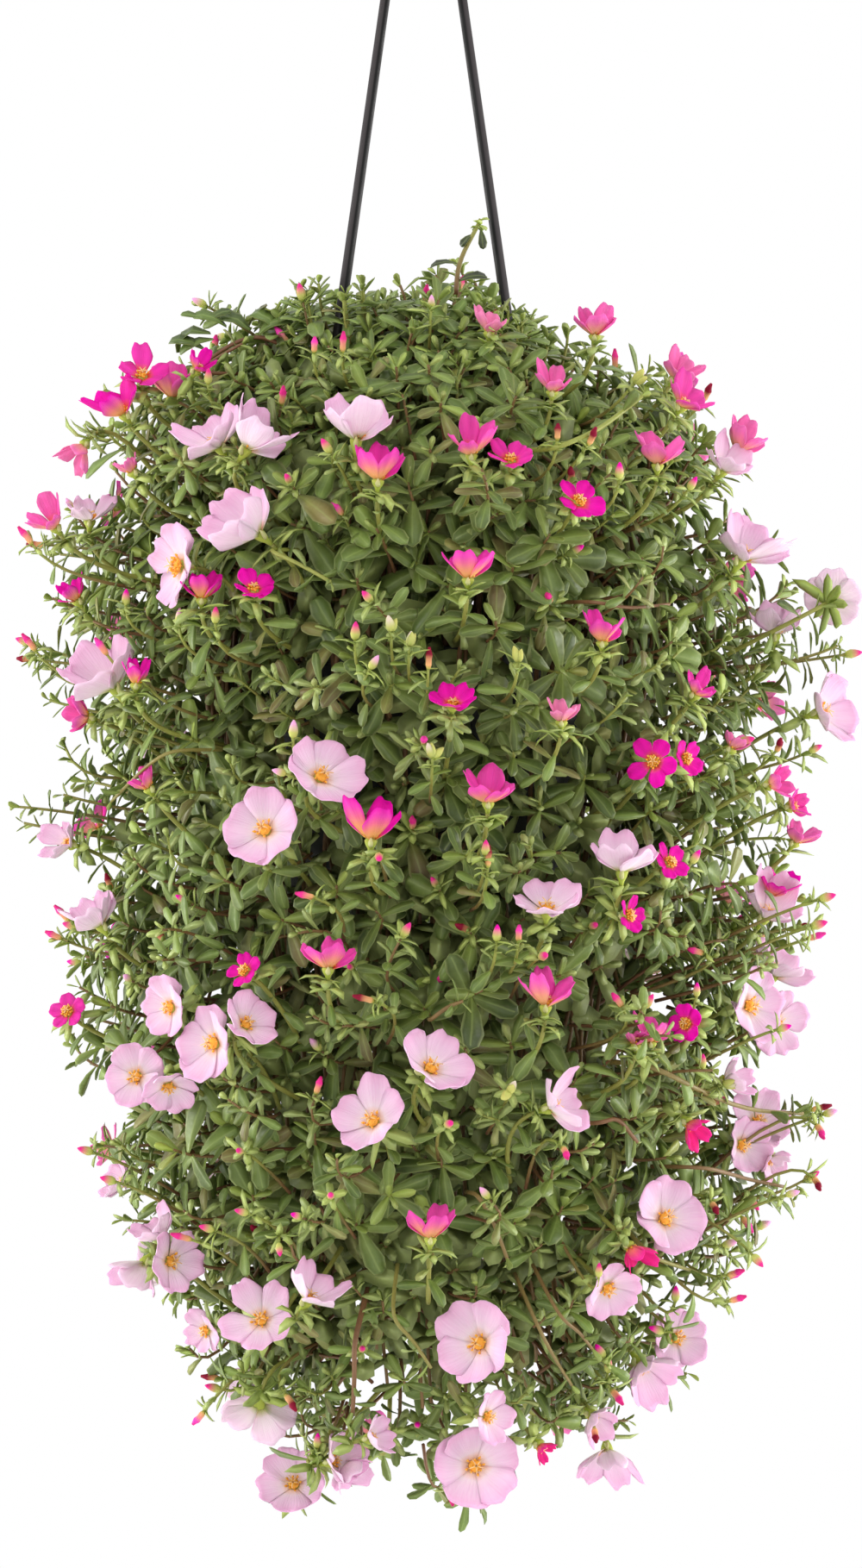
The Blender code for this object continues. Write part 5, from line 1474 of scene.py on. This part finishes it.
def build_hook(material):
    """The hook, its ribbed hub and the hub's four sockets."""
    low = HUB_TOP_Z - HUB_HEIGHT
    wide = HUB_RADIUS
    profile = [
        (0.0, low), (wide - 0.0015, low), (wide - 0.0004, low + 0.0004), (wide, low + 0.0015),
        (wide, low + 0.0050), (wide - 0.0006, low + 0.0055), (wide - 0.0006, low + 0.0065),
        (wide, low + 0.0070), (wide, HUB_TOP_Z - 0.0035), (wide - 0.0010, HUB_TOP_Z - 0.0015),
        (wide - 0.0045, HUB_TOP_Z), (0.0060, HUB_TOP_Z + 0.0004), (0.0042, HUB_TOP_Z + 0.0030),
        (0.0, HUB_TOP_Z + 0.0032),
    ]
    hub = turned(profile, 48, BLACK_PLASTIC).make("hub", (material,))
    sockets = []
    for degrees in STRAND_AZIMUTHS:
        foot = strand_point(degrees, low - 0.003)
        sockets.append(rod(foot, strand_point(degrees, low + SOCKET_DEPTH), SOCKET_RADIUS))
    cut(hub, sockets)
    flat_edges(hub, 40)
    declare(hub, "strand_plastic", "hanger_hook")
    hub.name = "hub_fine"
    reach = HOOK_INNER_RADIUS + HOOK_WIRE_RADIUS
    path = []
    for degrees in range(-36, 235, 9):
        turn = math.radians(degrees)
        path.append((reach * math.cos(turn), 0.0, -HOOK_INNER_RADIUS + reach * math.sin(turn)))
    path += [(-0.0045, 0, -0.0368), (-0.0020, 0, -0.0405), (-0.0006, 0, -0.0445), (0, 0, -0.0500)]
    path += [(0, 0, -0.0560), (0, 0, HUB_TOP_Z + 0.001)]
    path = np.array(path)
    tip = path[0] + unit(path[0] - path[1]) * 0.0022
    path = np.concatenate((tip[None], (tip + (path[0] - tip) * 0.4)[None], path))
    radii = np.full(len(path), HOOK_WIRE_RADIUS)
    radii[:2] = (0.0012, 0.0023)
    wire = Gathered()
    tubes(wire, path, radii, 20, BLACK_PLASTIC, 0)
    declare(wire.make("hook_wire", (material,)), "strand_plastic", "hanger_hook")


def build_pot(material):
    """The pot with its rolled flange, ribbed wall, strand holes and drain holes."""
    inner_top = WALL_TOP_RADIUS - WALL_THICKNESS
    base = WALL_BASE_RADIUS
    floor_z = POT_BASE_Z + FLOOR_LIFT
    skirt = RIM_RADIUS - 0.0018
    under_rib, on_rib = RIB_SHARES
    profile = [
        (0.0, floor_z), (base - 0.010, floor_z), (base - 0.009, POT_BASE_Z), (base - 0.001, POT_BASE_Z),
        (base, POT_BASE_Z + 0.001),
        (blend(base, WALL_TOP_RADIUS, under_rib), blend(POT_BASE_Z, RIM_Z, under_rib)),
        (blend(base, WALL_TOP_RADIUS, on_rib) + RIB_DEPTH, blend(POT_BASE_Z, RIM_Z, on_rib)),
        (WALL_TOP_RADIUS, RIM_Z - FLANGE_THICKNESS), (skirt, RIM_Z - FLANGE_THICKNESS),
        (skirt, RIM_Z - SKIRT_DEPTH), (RIM_RADIUS - 0.0009, RIM_Z - SKIRT_DEPTH - 0.0004),
        (RIM_RADIUS, RIM_Z - SKIRT_DEPTH), (RIM_RADIUS, RIM_Z - 0.0015),
        (RIM_RADIUS - 0.0005, RIM_Z - 0.0005), (RIM_RADIUS - 0.0015, RIM_Z),
        (inner_top + 0.0015, RIM_Z), (inner_top + 0.0005, RIM_Z - 0.0005),
        (inner_top, RIM_Z - 0.0015), (base - WALL_THICKNESS, floor_z + FLOOR_THICKNESS),
        (0.0, floor_z + FLOOR_THICKNESS),
    ]
    pot = turned(profile, 96, POT_GREY).make("pot_fine", (material,))
    cutters = []
    drop = np.array((0, 0, 0.004))
    for degrees in STRAND_AZIMUTHS:
        centre = strand_point(degrees, RIM_Z - FLANGE_THICKNESS / 2)
        cutters.append(rod(centre - drop, centre + drop, STRAND_HOLE_RADIUS))
    for i in range(6):
        low = around(math.tau * i / 5, DRAIN_CIRCLE_RADIUS if i < 5 else 0.0, POT_BASE_Z - 0.002)
        cutters.append(rod(low, low + 2 * drop, DRAIN_HOLE_RADIUS))
    cut(pot, cutters)
    flat_edges(pot, 35)
    declare(pot, "pot_plastic", "pot")


def build_soil(material, draw):
    """Crumbly potting soil with white grains of perlite."""
    slant = (WALL_TOP_RADIUS - WALL_BASE_RADIUS) / (POT_HEIGHT - FLANGE_THICKNESS)
    base_z = POT_BASE_Z + FLOOR_LIFT + FLOOR_THICKNESS + GAP
    base_radius = WALL_BASE_RADIUS - WALL_THICKNESS - 0.0006
    top_radius = base_radius + (SOIL_Z - base_z) * slant - 0.0004
    radii = [base_radius, top_radius] + [top_radius * (1 - i / 16) for i in range(1, 16)]
    points = []
    for n, r in enumerate(radii):
        for i in range(SOIL_SIDES):
            z = base_z if n == 0 else SOIL_Z
            if n > 1:
                z += SOIL_HUMP * (1 - (r / top_radius) ** 2) + draw.uniform(-0.0014, 0.0016)
            points.append(around(i * math.tau / SOIL_SIDES, r, z))
    points += [(0, 0, base_z), (0, 0, SOIL_Z + SOIL_HUMP)]
    into = Gathered()
    into.add(np.array(points)[None], closed_rings(len(radii), SOIL_SIDES, True), SOIL_BROWN, NO_MARK)
    for i in range(CRUMBS):
        r = top_radius * 0.95 * math.sqrt((i + 0.5) / CRUMBS)
        place = around(i * GOLDEN_TURN, r, SOIL_Z + 0.0015 + SOIL_HUMP * (1 - (r / top_radius) ** 2))
        size = draw.uniform(0.0006, 0.0020)
        tint = PERLITE if draw.random() < 0.14 else SOIL_BROWN * draw.uniform(0.5, 1.9)
        axis = unit(jitter(draw, 1.0) + 1e-3)
        path = place + axis * (np.array((-1.0, -0.5, 0.5, 1.0)) * size)[:, None]
        tubes(into, path, np.array((0.4, 1.0, 0.9, 0.3)) * size, 5, tint, 0)
    declare(into.make("soil_fine", (material,)), "potting_soil", "soil")


def add_camera():
    data = bpy.data.cameras.new("camera")
    data.sensor_fit = "VERTICAL"
    data.sensor_height = SENSOR
    data.sensor_width = SENSOR
    tall = PICTURE_HEIGHT * METRES_PER_PIXEL
    data.lens = SENSOR * (CAMERA_DISTANCE + FOCUS_PLANE_Y) / tall
    data.clip_end = 60.0
    camera = bpy.data.objects.new("camera", data)
    x = (PICTURE_WIDTH / 2 - PICTURE_MIDDLE_COLUMN) * METRES_PER_PIXEL
    z = (PICTURE_HOOK_ROW - PICTURE_HEIGHT / 2) * METRES_PER_PIXEL
    camera.location = (x, -CAMERA_DISTANCE, z)
    camera.rotation_euler = (math.pi / 2, 0, 0)
    bpy.context.scene.collection.objects.link(camera)
    bpy.context.scene.camera = camera


def add_light(name, place, size, power, colour):
    data = bpy.data.lights.new(name, "AREA")
    data.shape = "DISK"
    data.size = size
    data.energy = power
    data.color = colour
    lamp = bpy.data.objects.new(name, data)
    lamp.location = place
    aim = np.array(LAMP_TARGET) - np.array(place)
    lamp.rotation_euler = Vector(aim).to_track_quat("-Z", "Y").to_euler()
    bpy.context.scene.collection.objects.link(lamp)


def build_stage():
    """A plain pale floor far below the basket, a white world and soft lights."""
    world = bpy.data.worlds.new("studio")
    world.use_nodes = True
    background = world.node_tree.nodes["Background"]
    background.inputs["Color"].default_value = (1.0, 1.0, 1.0, 1.0)
    background.inputs["Strength"].default_value = 1.0
    bpy.context.scene.world = world
    for lamp in LAMPS:
        add_light(*lamp)
    low = FLOOR_Z - 0.02
    profile = [(0.0, low), (FLOOR_RADIUS, low), (FLOOR_RADIUS, FLOOR_Z), (0.0, FLOOR_Z)]
    into = turned(profile, 64, screen(244, 244, 242))
    made = floor_material()
    into.make("floor", (made,))


def build_hanger():
    """The hook with its hub, the strands, the pot and the soil."""
    plastic = plastic_material("strand_and_hook", screen(30, 30, 32), 0.38, 0.60, 900.0)
    build_hook(plastic)
    build_strands(strand_material())
    build_pot(plastic_material("pot_wall", screen(48, 50, 46), 0.40, 0.58, 300.0))
    build_soil(soil_material(), random.Random(3))


add_camera()
build_stage()
build_hanger()
build_plant()
bpy.context.scene.view_settings.view_transform = "Standard"
